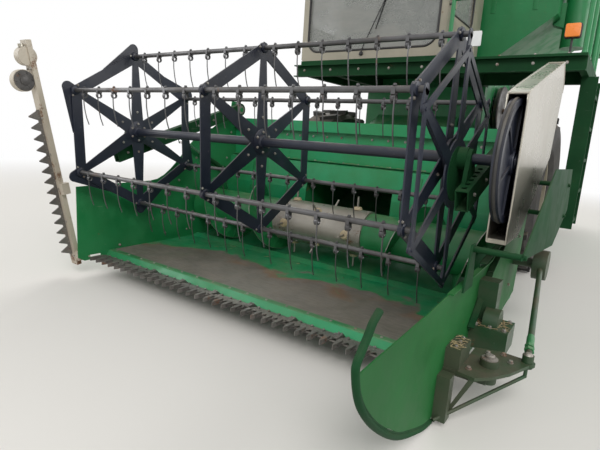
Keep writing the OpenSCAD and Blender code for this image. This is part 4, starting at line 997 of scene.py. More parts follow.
def curve_through(points: Sequence[Vector], steps: int) -> list[Vector]:
    """Gives a smooth curve through points.

    Args:
        points: The points.
        steps: Steps between two points.

    Returns:
        The curve's points.
    """
    curve: list[Vector] = []
    for i in range(len(points) - 1):
        a, b, c, d = points[max(i - 1, 0)], points[i], points[i + 1], points[min(i + 2, len(points) - 1)]
        for k in range(steps):
            t = k / steps
            curve.append(0.5 * (2 * b + (c - a) * t + (2 * a - 5 * b + 4 * c - d) * t * t
                                + (3 * b - a - 3 * c + d) * t ** 3))
    return curve + [points[-1]]


def rounded_loop(low: tuple[float, float], high: tuple[float, float], radius: float,
                 place: Callable[[float, float], Vector], steps: int = 6) -> list[Vector]:
    """Gives the points of a rectangle with round corners.

    Args:
        low: Its lower corner in its own plane.
        high: Its upper corner.
        radius: Radius of its corners.
        place: Turns a point of the plane into the frame.
        steps: Steps in each corner.

    Returns:
        The points of the loop.
    """
    loop: list[Vector] = []
    corners = (((high[0] - radius, high[1] - radius), 0.0), ((low[0] + radius, high[1] - radius), 90.0),
               ((low[0] + radius, low[1] + radius), 180.0), ((high[0] - radius, low[1] + radius), 270.0))
    for middle, start in corners:
        for i in range(steps + 1):
            angle = math.radians(start + 90.0 * i / steps)
            loop.append(place(middle[0] + radius * math.cos(angle), middle[1] + radius * math.sin(angle)))
    return loop


@dataclass(frozen=True)
class ReelPlan:
    """Where the reel's axis, spiders and bars are, as in the machine."""

    y: float = 0.387
    z: float = 1.107
    radius: float = 0.554
    phase: float = 92.3
    right: float = -1.250
    middle: float = 0.002
    left: float = 1.164
    tine_step: float = 0.165
    tines: int = 7

    def corner(self, number: int, radius: Optional[float] = None) -> tuple[float, float]:
        """Gives a bar's place across the reel's axis.

        Args:
            number: The bar, from 1.
            radius: Another distance from the axis than the bar's.

        Returns:
            The distance behind the guard tips and the height.
        """
        angle = math.radians(self.phase + 60.0 * (number - 1))
        reach = self.radius if radius is None else radius
        return self.y + reach * math.cos(angle), self.z + reach * math.sin(angle)


@dataclass
class TineBars:
    """The reel's six bars, with their coiled spring tines, clamps and cranks."""

    plan: ReelPlan = ReelPlan()
    bar_radius: float = 0.014
    wire: float = 0.0034
    coil_radius: float = 0.0145
    crank_x: float = 1.204
    crank_thick: float = 0.008
    pin_ahead: float = 0.020
    pin_drop: float = 0.075
    pin_radius: float = 0.008
    pin_length: float = 0.022

    def build(self) -> None:
        """Makes the six bars."""
        for number in range(1, 7):
            self._bar(number)

    def _bar(self, number: int) -> None:
        """Makes one bar with its tines, and its crank.

        Args:
            number: The bar, from 1.
        """
        y, z = self.plan.corner(number)
        bar = Piece(f"reel_bar_{number}")
        bar.tube([machine(x, y, z) for x in (self.plan.right - 0.032, self.crank_x + 0.001)], self.bar_radius, 20)
        for start, offset in ((self.plan.right, 0.118), (self.plan.middle, 0.086)):
            for i in range(self.plan.tines):
                self._tine(bar, start + offset + i * self.plan.tine_step, y, z)
        whole = bar.make(METAL_DARK, f"bar_{number}", Slot.STEEL)
        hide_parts(f"tine_bar_{number}")
        self._crank(number, y, z)

    def _tine(self, bar: Piece, x: float, y: float, z: float) -> None:
        """Adds one tine: its clamp, coil and hanging leg.

        Args:
            bar: The piece that takes the tine.
            x: The tine's place along the bar.
            y: The bar's distance behind the guard tips.
            z: The bar's height.
        """
        middle = machine(x, y, z - self.bar_radius - 0.020)
        path = bar.coil(middle, self.coil_radius, self.wire, 3.25, 0.018)
        end = path[-1]
        leg = [end + Vector((0.0, dy, dz)) for dy, dz in
               ((0.0, 0.0), (0.0005, -0.012), (0.0022, -0.060), (0.0080, -0.100), (0.0180, -0.145), (0.0340, -0.188))]
        bar.tube(leg, self.wire, 7)
        top = machine(x, y, z + self.bar_radius)
        bar.bolt(top, Vector((0.0, 0.0, 1.0)), 0.015)
        bar.slab([machine(x - 0.009, y - 0.0165, z - 0.020), machine(x + 0.009, y - 0.0165, z - 0.020),
                  machine(x + 0.009, y - 0.0145, z + 0.006), machine(x - 0.009, y - 0.0145, z + 0.006)],
                 Vector((0.0, 0.031, 0.0)))

    def _crank(self, number: int, y: float, z: float) -> None:
        """Adds the crank at the bar's left end, whose pin the control ring holds.

        Args:
            number: The bar, from 1.
            y: The bar's distance behind the guard tips.
            z: The bar's height.
        """
        crank = Piece(f"reel_crank_{number}")
        pin_y, pin_z = y - self.pin_ahead, z - self.pin_drop
        ahead = Vector((1.0, 0.0, 0.0))
        for boss_y, boss_z, radius in ((y, z, 0.024), (pin_y, pin_z, 0.018)):
            crank.turned(machine(self.crank_x, boss_y, boss_z), ahead,
                         [(radius - 0.002, 0.0), (radius, 0.001), (radius, 0.007), (radius - 0.002, 0.008)], 20)
        crank.slab([machine(self.crank_x, y - 0.020, z + 0.006), machine(self.crank_x, y + 0.021, z - 0.004),
                    machine(self.crank_x, pin_y + 0.017, pin_z), machine(self.crank_x, pin_y - 0.017, pin_z)],
                   Vector((self.crank_thick, 0.0, 0.0)))
        crank.turned(machine(self.crank_x, pin_y, pin_z), ahead,
                     [(self.pin_radius, 0.0), (self.pin_radius, self.pin_length)], 14)
        crank.make(PAINT_BLUE, f"bar_{number}", Slot.DARK_BLUE)


@dataclass
class ReelTrim:
    """Hub plates, bearings and bolts on the reel's spiders, and the drive pulley's belt, ribs and hub."""

    plan: ReelPlan = ReelPlan()

    def build(self) -> None:
        """Makes the trim of the turning reel."""
        trim = Piece("reel_hubs_and_bearings")
        bolts = Piece("reel_bolts")
        for x in (self.plan.right, self.plan.middle, self.plan.left):
            for side in (-1.0, 1.0):
                axis = Vector((side, 0.0, 0.0))
                face = x + side * 0.004
                trim.turned(machine(face, self.plan.y, self.plan.z), axis,
                            [(0.082, 0.0), (0.082, 0.004), (0.078, 0.006), (0.045, 0.007), (0.040, 0.022),
                             (0.029, 0.024)], 32)
                for k in range(6):
                    for reach in (0.062, 0.150):
                        y, z = self._spoke(k, reach)
                        out = 0.006 if reach < 0.1 else 0.0
                        bolts.bolt(machine(face + side * out, y, z), axis, 0.014)
                for number in range(1, 7):
                    self._bearing(trim, bolts, number, face, side)
        trim.make(PAINT_BLUE, "reel", Slot.DARK_BLUE)
        bolts.make(METAL_BOLT, "reel", Slot.STEEL)
        self._pulley()

    def _spoke(self, k: int, reach: float) -> tuple[float, float]:
        """Gives a point on a spoke at a distance from the axis."""
        return self.plan.corner(k + 1, reach)

    def _bearing(self, trim: Piece, bolts: Piece, number: int, face: float, side: float) -> None:
        """Adds the split bearing of a bar on one face of a spider.

        Args:
            trim: The piece that takes the bearing.
            bolts: The piece that takes its bolts.
            number: The bar, from 1.
            face: Where the spider's face is across the machine.
            side: 1 for a face to the left, -1 for one to the right.
        """
        y, z = self.plan.corner(number)
        axis = Vector((side, 0.0, 0.0))
        trim.turned(machine(face, y, z), axis, [(0.030, 0.0), (0.030, 0.007), (0.024, 0.010), (0.0145, 0.011)], 20)
        angle = math.radians(self.plan.phase + 60.0 * (number - 1))
        for turn in (-1.0, 1.0):
            dy, dz = -math.sin(angle) * turn * 0.040, math.cos(angle) * turn * 0.040
            bolts.bolt(machine(face, y + dy, z + dz), axis, 0.012)

    def _pulley(self) -> None:
        """Adds the belt, the spokes' ribs and the hub of the drive pulley."""
        centre = machine(1.446, self.plan.y, self.plan.z)
        belt = Piece("reel_drive_belt")
        loop = arc(centre, Vector((0.0, 1.0, 0.0)), Vector((0.0, 0.0, 1.0)), 0.272, 0.0, 354.0, 59)
        belt.tube(loop, 0.0095, 6, closed=True)
        belt.make(HOSE_BLACK, "reel", Slot.TYRE)
        ribs = Piece("reel_pulley_ribs")
        for k in range(6):
            angle = math.radians(60.0 * k + 20.0)
            out = Vector((0.0, math.cos(angle), math.sin(angle)))
            flat = Vector((0.0, -math.sin(angle), math.cos(angle)))
            for side in (-1.0, 1.0):
                base = centre + Vector((side * 0.007, 0.0, 0.0))
                ribs.slab([base + out * 0.055 - flat * 0.006, base + out * 0.243 - flat * 0.005,
                           base + out * 0.243 + flat * 0.005, base + out * 0.055 + flat * 0.006],
                          Vector((side * 0.008, 0.0, 0.0)))
        ribs.turned(centre + Vector((0.018, 0.0, 0.0)), Vector((1.0, 0.0, 0.0)),
                    [(0.058, 0.0), (0.056, 0.004), (0.036, 0.006), (0.034, 0.012), (0.026, 0.014)], 24)
        ribs.make(PAINT_BLUE, "reel", Slot.DARK_BLUE)


@dataclass
class HeaderTrim:
    """The header's small pieces: strips, bolts, channels, guides and the cover's edges."""

    guard_pitch: float = 0.0762
    guards: int = 35
    edge: Sequence[tuple[float, float]] = (
        (-0.716, 0.707), (-0.754, 0.683), (-0.782, 0.649), (-0.815, 0.612), (-0.833, 0.590), (-0.838, 0.555),
        (-0.811, 0.470), (-0.755, 0.387), (-0.640, 0.276), (-0.455, 0.147), (-0.203, 0.041), (-0.077, 0.012))

    def build(self) -> None:
        """Makes the pieces on the table, the walls, the cover and the arms."""
        self._front_strip()
        self._guard_bolts()
        self._knife_rivets()
        self._back_panel()
        self._wall_channel()
        self._finger_guides()
        self._cover_edges()
        self._arm_trim()
        self._drive_bolts()
        self._side_knife()
        self._divider_edge()

    def _divider_edge(self) -> None:
        """Adds the divider's round front edge with its weld, the guard panel and its brackets, for their CAD node."""
        smooth = curve_through([Vector((y, z, 0.0)) for y, z in self.edge], 6)
        bar, bead = [], []
        for i, point in enumerate(smooth):
            along = (smooth[min(i + 1, len(smooth) - 1)] - smooth[max(i - 1, 0)]).normalized()
            inward = Vector((-along.y, along.x, 0.0))
            bar.append(machine(1.373, point.x + inward.x * 0.012, point.y + inward.y * 0.012))
            bead.append(machine(1.373, point.x + inward.x * 0.025, point.y + inward.y * 0.025))
        edge = Piece("divider_edge_and_guard")
        edge.tube(bar, 0.0122, 16)
        edge.tube(bead[12:-2], 0.0052, 8)
        out = Vector((1.0, 0.0, 0.0))
        edge.slab([machine(1.590, y, z) for y, z in ((0.110, 0.730), (0.780, 1.080), (1.690, 1.060), (1.810, 0.780),
                                                     (1.200, 0.620))], out * 0.006)
        for y, z in ((1.560, 0.960), (1.560, 0.760)):
            edge.turned(machine(1.376, y, z), out, [(0.016, 0.0), (0.016, 0.214)], 20)
        edge.slab([machine(1.3965, y, z) for y, z in ((0.060, 0.560), (0.110, 0.760), (0.170, 0.760), (0.200, 0.560))],
                  out * 0.0075)
        edge.turned(machine(1.397, 0.140, 0.738), out, [(0.014, 0.0), (0.014, 0.193)], 20)
        for y, z in ((0.140, 0.738), (1.560, 0.960), (1.560, 0.760)):
            edge.bolt(machine(1.596, y, z), out, 0.022)
        whole = edge.make(PAINT_DARK_WITH_PAINTED_SHADE, "header", Slot.DARK_GREEN, 0.0008)
        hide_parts("header_guard")

    def _front_strip(self) -> None:
        """Adds the wear strip along the table's front edge and its bolts."""
        strip = Piece("table_front_strip")
        half = 1.368
        top = TABLE_FLOOR_Z
        strip.slab([machine(-half, 0.204, top + 0.0003), machine(-half, 0.246, top + 0.0003),
                    machine(-half, 0.242, top + 0.0055), machine(-half, 0.209, top + 0.0055)],
                   Vector((2 * half, 0.0, 0.0)))
        strip.make(PAINT_GREEN, "header", Slot.GREEN, 0.0008)
        bolts = Piece("table_front_bolts")
        for i in range(18):
            bolts.turned(machine(-1.29 + i * 0.1524, 0.226, top + 0.0055), Vector((0.0, 0.0, 1.0)),
                         [(0.009, 0.0), (0.0085, 0.002), (0.005, 0.0035)], 12)
        bolts.make(METAL_BOLT, "header", Slot.STEEL)

    def _guard_bolts(self) -> None:
        """Adds the bolts that hold the guards and the hold-down clips."""
        bolts = Piece("guard_bolts")
        first = -(self.guards - 1) / 2 * self.guard_pitch
        up = Vector((0.0, 0.0, 1.0))
        for i in range(self.guards):
            bolts.bolt(machine(first + i * self.guard_pitch, 0.163, 0.137), up, 0.017)
        for i in range(3, self.guards - 1, 4):
            x = first + (i + 0.5) * self.guard_pitch
            for dx in (-0.009, 0.009):
                bolts.bolt(machine(x + dx, 0.143, 0.1620), up, 0.011)
        bolts.make(METAL_STEEL, "header", Slot.STEEL)

    def _knife_rivets(self) -> None:
        """Adds two rivets on each knife section."""
        rivets = Piece("knife_rivets")
        first = -self.guards / 2 * self.guard_pitch
        for i in range(self.guards):
            for dx in (0.024, 0.052):
                rivets.turned(machine(first + i * self.guard_pitch + dx, 0.118, 0.1515), Vector((0.0, 0.0, 1.0)),
                              [(0.0038, 0.0), (0.0034, 0.0003), (0.0016, 0.0005)], 8)
        rivets.make(METAL_BOLT, "knife_slide_body", Slot.STEEL)

    def _back_panel(self) -> None:
        """Adds the header back's stiffeners, a strip along its ledge, its bolts and the stripper bar, which leaves the
        feeder opening free.
        """
        panel = Piece("back_stiffeners")
        for x in (-1.05, -0.62, 0.62, 1.05):
            panel.slab([machine(x - 0.018, 1.528, 0.62), machine(x + 0.018, 1.528, 0.62),
                        machine(x + 0.014, 1.516, 0.63), machine(x - 0.014, 1.516, 0.63)],
                       Vector((0.0, 0.0395, 0.27)))
        panel.slab([machine(-1.36, 1.5805, 0.949), machine(-1.36, 1.5805, 0.953), machine(-1.36, 1.6255, 0.953),
                    machine(-1.36, 1.6255, 0.949)], Vector((2.72, 0.0, 0.0)))
        panel.make(PAINT_GREEN, "header", Slot.GREEN, 0.001)
        bolts = Piece("back_bolts")
        for i in range(19):
            x = -1.305 + i * 0.145
            bolts.bolt(machine(x, 1.626, 1.165), Vector((0.0, -1.0, 0.0)), 0.016)
            bolts.bolt(machine(x + 0.05, 1.603, 0.953), Vector((0.0, 0.0, 1.0)), 0.014)
        bolts.make(METAL_BOLT, "header", Slot.STEEL)
        bar = Piece("stripper_bar")
        for low, high in ((-1.36, -0.43), (0.43, 1.36)):
            bar.slab([machine(low, 1.5065, 0.40), machine(low, 1.494, 0.404), machine(low, 1.494, 0.410),
                      machine(low, 1.5085, 0.425)], Vector((high - low, 0.0, 0.0)))
        bar.make(PAINT_GREEN, "header", Slot.GREEN)

    def _wall_channel(self) -> None:
        """Adds the angle irons and bolts on the left wall's outer face and along the right wall."""
        face = 1.3765
        iron = Piece("left_wall_channels")
        for path in (((0.405, 0.600), (0.720, 0.640), (0.944, 0.680)), ((0.350, 0.300), (0.62, 0.520), (0.90, 0.655))):
            for (y0, z0), (y1, z1) in zip(path, path[1:]):
                along = Vector((0.0, y1 - y0, z1 - z0)).normalized()
                rise = Vector((0.0, -along.z, along.y)) * 0.022
                a, b = machine(face, y0, z0), machine(face, y1, z1)
                iron.slab([a - rise, b - rise, b + rise, a + rise], Vector((0.004, 0.0, 0.0)))
                iron.slab([a + rise * 0.82, b + rise * 0.82, b + rise, a + rise], Vector((0.032, 0.0, 0.0)))
        iron.make(PAINT_DARK_WITH_PAINTED_SHADE, "header", Slot.DARK_GREEN)
        bolts = Piece("wall_bolts")
        for i in range(9):
            share = i / 8
            bolts.bolt(machine(1.3805, 0.37 + 0.53 * share, 0.315 + 0.33 * share), Vector((1.0, 0.0, 0.0)), 0.018)
        for y, z in ((0.30, 0.20), (0.75, 0.24), (1.00, 0.24), (1.30, 0.30),
                     (1.45, 0.60), (1.50, 0.90), (1.55, 1.15), (1.10, 0.90), (0.90, 0.70)):
            for face_x, side in ((1.376, 1.0), (1.370, -1.0), (-1.376, -1.0), (-1.370, 1.0)):
                bolts.bolt(machine(face_x, y, z), Vector((side, 0.0, 0.0)), 0.017)
        bolts.make(METAL_BOLT, "header", Slot.STEEL)

    def _finger_guides(self) -> None:
        """Adds the tan guides that the auger's fingers pass through, and the screws on the drum."""
        guides = Piece("finger_guides")
        centre = machine(0.0, 1.220, 0.470)
        for i in range(4):
            for j in range(3):
                angle = math.radians((i + j * 0.5) * 90.0)
                out = Vector((0.0, -math.sin(angle), math.cos(angle)))
                base = centre + Vector((-0.280 + j * 0.280, 0.0, 0.0)) + out * 0.172
                guides.turned(base, out, [(0.036, 0.0), (0.036, 0.006), (0.031, 0.010), (0.028, 0.019), (0.014, 0.022),
                                          (0.012, 0.020)], 20)
        guides.make(PLASTIC_TAN, "auger_rotor", Slot.GALVANISED)
        screws = Piece("drum_screws")
        for x in (-0.385, -0.20, 0.0, 0.20, 0.385):
            for k in range(8):
                angle = math.radians(45.0 * k + 12.0)
                out = Vector((0.0, math.cos(angle), math.sin(angle)))
                screws.bolt(centre + Vector((x, 0.0, 0.0)) + out * 0.172, out, 0.011)
        screws.make(METAL_BOLT, "auger_rotor", Slot.STEEL)

    def _cover_edges(self) -> None:
        """Adds the rolled front edge, the hem and the rear flap of the reel drive's cover."""
        edge = Piece("cover_rolled_edges")
        for x in (1.4075, 1.4895):
            edge.tube([machine(x, y, z) for y, z in ((0.331, 0.745), (0.331, 1.394), (0.340, 1.402), (0.420, 1.429),
                                                     (0.62, 1.486), (0.85, 1.551), (1.08, 1.615), (1.305, 1.677))],
                      0.0048, 10)
        edge.tube([machine(x, 0.332, 1.400) for x in (1.4075, 1.44, 1.4895)], 0.0048, 10)
        edge.make(METAL_GALVANISED, "reel_carrier", Slot.GALVANISED)
        flap = Piece("cover_rear_flap")
        flap.slab([machine(1.4045, 1.27, 1.6705), machine(1.4045, 1.312, 1.684), machine(1.4045, 1.434, 1.563),
                   machine(1.4045, 1.425, 1.52), machine(1.4045, 1.418, 1.555), machine(1.4045, 1.306, 1.668)],
                  Vector((0.088, 0.0, 0.0)))
        flap.make(PAINT_CREAM, "reel_carrier", Slot.CREAM, 0.001)

    def _arm_trim(self) -> None:
        """Adds pivot caps and adjusting bolts on the two reel arms."""
        trim = Piece("reel_arm_bolts")
        slope = math.radians(18.6)
        for inner, side in ((1.326, 1.0), (1.266, -1.0), (-1.352, -1.0), (-1.292, 1.0)):
            axis = Vector((side, 0.0, 0.0))
            trim.turned(machine(inner, 1.600, 1.375), axis, [(0.040, 0.0), (0.040, 0.004), (0.024, 0.005)], 24)
            for i in range(7):
                reach = 0.20 + i * 0.19
                trim.bolt(machine(inner, 1.600 - reach * math.cos(slope), 1.375 - reach * math.sin(slope)), axis, 0.016)
        trim.make(METAL_BOLT, "reel_carrier", Slot.STEEL)

    def _drive_bolts(self) -> None:
        """Adds the nuts, the boss cap and the gearbox bolts of the knife drive."""
        drive = Piece("knife_drive_bolts")
        up = Vector((0.0, 0.0, 1.0))
        drive.turned(machine(1.530, 0.145, 0.276), up, [(0.034, 0.0), (0.034, 0.004), (0.020, 0.006), (0.020, 0.016),
                                                        (0.014, 0.020)], 24)
        for x, y in ((1.40, 0.40), (1.53, 0.40), (1.40, 0.54), (1.53, 0.54), (1.465, 0.40), (1.465, 0.54)):
            drive.bolt(machine(x, y, 0.316), up, 0.018)
        for x, y in ((1.47, 0.05), (1.60, 0.235), (1.56, 0.295), (1.50, 0.262)):
            drive.bolt(machine(x, y, 0.246), up, 0.020)
        for y in (0.04, 0.10, 0.15):
            drive.bolt(machine(1.410, y, 0.330), up, 0.014)
        drive.turned(machine(1.658, 0.298, 0.280), up, [(0.020, 0.0), (0.018, 0.004), (0.010, 0.010)], 18)
        drive.make(METAL_BOLT, "header", Slot.STEEL)
        rod = Piece("push_rod_nuts")
        start, end = machine(1.658, 0.298, 0.264), machine(1.536, 1.380, 0.452)
        along = (end - start).normalized()
        for reach in (0.055, 0.085):
            rod.turned(start + along * reach, along, [(0.021, 0.0), (0.022, 0.003), (0.022, 0.017), (0.021, 0.020)], 6)
        rod.turned(start + along * 0.105, along, [(0.016, 0.0), (0.0175, 0.01), (0.0175, 0.075), (0.016, 0.085)], 16)
        rod.make(PAINT_GREEN, "header", Slot.GREEN)

    def _side_knife(self) -> None:
        """Adds the side knife's motor, eccentric plate, blade rivets and bracket bolts."""
        lean = math.radians(10.8)

        def post(x: float, ahead: float, up: float) -> Vector:
            """Turns a place on the leaning post into the frame."""
            return machine(x, -ahead * math.cos(lean) - up * math.sin(lean),
                           0.09 - ahead * math.sin(lean) + up * math.cos(lean))

        right = Vector((-1.0, 0.0, 0.0))
        motor = Piece("side_knife_motor")
        motor.turned(post(-1.484, 0.040, 1.50), -right, [(0.020, 0.0), (0.046, 0.004), (0.050, 0.008), (0.050, 0.052),
                                                        (0.046, 0.058), (0.020, 0.060)], 24)
        motor.turned(post(-1.452, 0.055, 1.555), post(0.0, 0.0, 1.0) - post(0.0, 0.0, 0.0),
                     [(0.016, 0.0), (0.018, 0.002), (0.018, 0.020), (0.013, 0.023)], 14)
        motor.make(METAL_GALVANISED, "header", Slot.GALVANISED)
        plate = Piece("side_knife_eccentric")
        for x, side in ((-1.478, right), (-1.426, -right)):
            plate.turned(post(x, 0.094, 1.35), side, [(0.066, 0.0), (0.064, 0.003), (0.030, 0.004), (0.028, 0.010),
                                                     (0.012, 0.012)], 28)
            for k in range(6):
                angle = math.radians(60.0 * k)
                plate.bolt(post(x + side.x * 0.003, 0.094 + 0.050 * math.cos(angle), 1.35 + 0.050 * math.sin(angle)),
                           side, 0.010)
        plate.make(METAL_CAST, "header", Slot.CAST)
        rivets = Piece("side_blade_rivets")
        for i in range(14):
            for share in (0.3, 0.7):
                up = 0.09 + (i + share) * 0.0762
                for x, side in ((-1.456, right), (-1.448, -right)):
                    rivets.turned(post(x, 0.045, up), side, [(0.004, 0.0), (0.0035, 0.0012), (0.0015, 0.0018)], 8)
        rivets.make(METAL_BOLT, "side_knife_slide_body", Slot.STEEL)
        bolts = Piece("side_post_bolts")
        for up in (0.075, 0.35, 0.60, 0.85, 1.10, 1.42):
            for x in (-1.474, -1.430):
                bolts.bolt(post(x, 0.034, up), post(0.0, 1.0, 0.0) - post(0.0, 0.0, 0.0), 0.013)
        bolts.make(METAL_BOLT, "header", Slot.STEEL)


@dataclass
class CabTrim:
    """The cab's seals, wiper, rails, mirrors' glass, lamps' lenses and the padded seat."""

    left: float = 0.490
    right: float = -0.960
    front: float = 2.100
    rear: float = 3.080
    floor: float = 1.900
    top: float = 3.380
    lamp_reach: Sequence[float] = (0.130, 0.330)

    @property
    def middle(self) -> float:
        """Gives the cab's middle across the machine."""
        return (self.left + self.right) / 2

    def build(self) -> None:
        """Makes the cab's pieces."""
        self._seals()
        self._wiper()
        self._rails()
        self._mirrors()
        self._lamps()
        self._seat()
        self._controls()

    def _seals(self) -> None:
        """Adds the rubber seals round the four panes."""
        seals = Piece("cab_seals")
        windscreen = rounded_loop((self.right + 0.07, self.floor + 0.08), (self.left - 0.07, self.top - 0.07), 0.12,
                                  lambda a, b: machine(a, self.front + 0.002, b), 8)
        seals.tube(windscreen, 0.010, 8, closed=True)
        side = rounded_loop((self.front + 0.10, self.floor + 0.35), (self.rear - 0.13, self.top - 0.08), 0.06,
                            lambda a, b: machine(self.right + 0.002, a, b))
        seals.tube(side, 0.009, 8, closed=True)
        back = rounded_loop((self.right + 0.12, self.floor + 0.60), (self.left - 0.12, self.top - 0.12), 0.06,
                            lambda a, b: machine(a, self.rear - 0.002, b))
        seals.tube(back, 0.009, 8, closed=True)
        seals.make(PLASTIC_DARK, "chassis", Slot.PLASTIC)
        door = Piece("door_seal")
        pane = rounded_loop((self.front + 0.11, self.floor + 0.35), (2.79, self.top - 0.09), 0.06,
                            lambda a, b: machine(self.left - 0.002, a, b))
        door.tube(pane, 0.009, 8, closed=True)
        door.make(PLASTIC_DARK, "door", Slot.PLASTIC)

    def _wiper(self) -> None:
        """Adds the windscreen wiper with its arm and blade."""
        wiper = Piece("wiper")
        y = self.front - 0.012
        pivot = machine(self.middle - 0.05, self.front + 0.001, self.floor + 0.045)
        wiper.turned(pivot, Vector((0.0, -1.0, 0.0)), [(0.020, 0.0), (0.020, 0.010), (0.012, 0.018)], 16)
        tip = machine(self.middle + 0.16, y - 0.008, self.floor + 0.50)
        wiper.tube([machine(self.middle - 0.05, y, self.floor + 0.045),
                    machine(self.middle - 0.02, y - 0.010, self.floor + 0.12),
                    tip], 0.0045, 8)
        along = Vector((0.30, 0.0, 0.95)).normalized()
        middle = machine(self.middle + 0.16, y - 0.002, self.floor + 0.50)
        half_width = Vector((0.004, 0.0, 0.0))
        low, high = middle - along * 0.26, middle + along * 0.26
        wiper.slab([low - half_width, low + half_width, high + half_width, high - half_width],
                   Vector((0.0, 0.010, 0.0)))
        wiper.make(PLASTIC_DARK, "chassis", Slot.PLASTIC)

    def _rails(self) -> None:
        """Adds the grab rail beside the door and the drip edge round the roof."""
        rail = Piece("cab_grab_rail")
        x, y = self.left + 0.040, self.front + 0.006
        rail.tube([machine(self.left - 0.004, self.front + 0.018, 2.30), machine(x - 0.008, y, 2.305),
                   machine(x, y, 2.32), machine(x, y, 3.03), machine(x - 0.008, y, 3.045),
                   machine(self.left - 0.004, self.front + 0.018, 3.05)],
                  0.010, 12)
        rail.make(METAL_DARK, "chassis", Slot.PLASTIC)
        roof = Piece("roof_trim")
        for x in (self.right - 0.020, self.left + 0.020):
            roof.tube([machine(x, 1.985, self.top + 0.006), machine(x, self.rear + 0.014, self.top + 0.006)], 0.006, 8)
        roof.tube([machine(self.right - 0.02, 1.982, self.top + 0.006),
                   machine(self.left + 0.02, 1.982, self.top + 0.006)],
                  0.006, 8)
        for x in (self.right + 0.30, self.middle, self.left - 0.30):
            roof.slab([machine(x - 0.020, 2.08, self.top + 0.0895), machine(x + 0.020, 2.08, self.top + 0.0895),
                       machine(x + 0.014, 2.08, self.top + 0.0985), machine(x - 0.014, 2.08, self.top + 0.0985)],
                      Vector((0.0, 0.96, 0.0)))
        roof.make(PAINT_CREAM, "chassis", Slot.CREAM)
        vents = Piece("roof_vents")
        for i in range(9):
            x = self.middle - 0.24 + i * 0.06
            vents.slab([machine(x - 0.022, 1.981, self.top + 0.014), machine(x + 0.022, 1.981, self.top + 0.014),
                        machine(x + 0.022, 1.981, self.top + 0.020), machine(x - 0.022, 1.981, self.top + 0.020)],
                       Vector((0.0, -0.0035, 0.0)))
        vents.make(PLASTIC_DARK, "chassis", Slot.PLASTIC)

    def _mirrors(self) -> None:
        """Adds the mirrors' glass, their rims and clamps."""
        glass, rims = Piece("mirror_glass"), Piece("mirror_rims")
        for x, side in ((self.left, 1.0), (self.right, -1.0)):
            middle = x + side * (0.0225 + 0.260)
            low, high = self.top + 0.020 - 0.515, self.top + 0.020 - 0.185
            rear = self.front - 0.100 - 0.065
            loop = rounded_loop((middle - 0.086, low), (middle + 0.086, high), 0.022, lambda a, b: machine(a, rear, b))
            rims.tube(loop, 0.0055, 8, closed=True)
            glass.slab(rounded_loop((middle - 0.080, low + 0.006), (middle + 0.080, high - 0.006), 0.018,
                                    lambda a, b: machine(a, rear - 0.0005, b)), Vector((0.0, 0.0030, 0.0)))
            for z in (low + 0.07, high - 0.07):
                rims.box(machine(middle - 0.016, rear - 0.045, z - 0.012),
                         machine(middle + 0.016, rear - 0.024, z + 0.012))
        rims.make(PLASTIC_DARK, "chassis", Slot.PLASTIC)
        glass.make(METAL_CHROME, "chassis", Slot.CHROME)

    def _lamps(self) -> None:
        """Adds the work lamps' lenses, rims and ribs, and the beacon's foot."""
        lens, rims = Piece("lamp_lenses"), Piece("lamp_rims")
        ahead = Vector((0.0, -1.0, 0.0))
        for reach in self.lamp_reach:
            for x in (self.right + reach, self.left - reach):
                base = machine(x, self.front - 0.1895, self.top - 0.055)
                lens.turned(base, ahead, [(0.052, 0.0), (0.050, 0.004), (0.036, 0.009), (0.012, 0.012)], 28)
                rims.turned(base, ahead, [(0.0605, -0.012), (0.0625, -0.010), (0.0625, 0.004), (0.0605, 0.006),
                                          (0.053, 0.006), (0.053, -0.002)], 28)
                for back in (0.020, 0.034, 0.048):
                    rims.turned(base - ahead * back, ahead,
                                [(0.0600, 0.0), (0.0615, 0.002), (0.0615, 0.005), (0.0600, 0.007)], 28)
        lens.make(LENS_CLEAR, "chassis", Slot.GLASS)
        rims.make(PLASTIC_DARK, "chassis", Slot.PLASTIC)
        foot = Piece("beacon_foot")
        centre = machine(self.right + 0.150, self.rear - 0.200, self.top + 0.090)
        foot.turned(centre, Vector((0.0, 0.0, 1.0)), [(0.070, 0.0), (0.070, 0.010), (0.058, 0.016), (0.056, 0.020)], 28)
        foot.turned(centre + Vector((0.0, 0.0, 0.1195)), Vector((0.0, 0.0, 1.0)),
                    [(0.054, 0.0), (0.046, 0.004), (0.020, 0.006)], 28)
        foot.make(LENS_ORANGE, "chassis", Slot.PLASTIC)

    def _seat(self) -> None:
        """Adds the padded cushion and backrest over the seat's shell."""
        cushion = Piece("seat_cushion")
        cushion.pillow(machine(self.middle - 0.232, 2.474, 2.296), machine(self.middle + 0.232, 2.862, 2.352), 0.42)
        padded = cushion.make(SEAT_VINYL, "chassis", Slot.SEAT)
        back = Piece("seat_back_pad")
        back.pillow(Vector((-0.222, -0.030, -0.235)), Vector((0.222, 0.030, 0.235)), 0.42)
        lean = Matrix.Rotation(-math.radians(8.4), 3, "X")
        centre = machine(self.middle, 2.862, 2.665)
        back.points = [centre + lean @ p for p in back.points]
        padded_back = back.make(SEAT_VINYL, "chassis", Slot.SEAT)

    def _controls(self) -> None:
        """Adds the lever knobs on the console."""
        knobs = Piece("console_knobs")
        up = Vector((0.0, 0.0, 1.0))
        for x, y in ((0.23, 2.42), (0.30, 2.42), (0.23, 2.52), (0.30, 2.52), (0.26, 2.66)):
            base = machine(x, y, 2.519)
            knobs.turned(base, up, [(0.016, 0.0), (0.012, 0.010), (0.005, 0.014), (0.005, 0.085), (0.013, 0.092),
                                    (0.017, 0.108), (0.012, 0.122), (0.004, 0.126)], 14)
        knobs.make(PLASTIC_DARK, "chassis", Slot.PLASTIC)


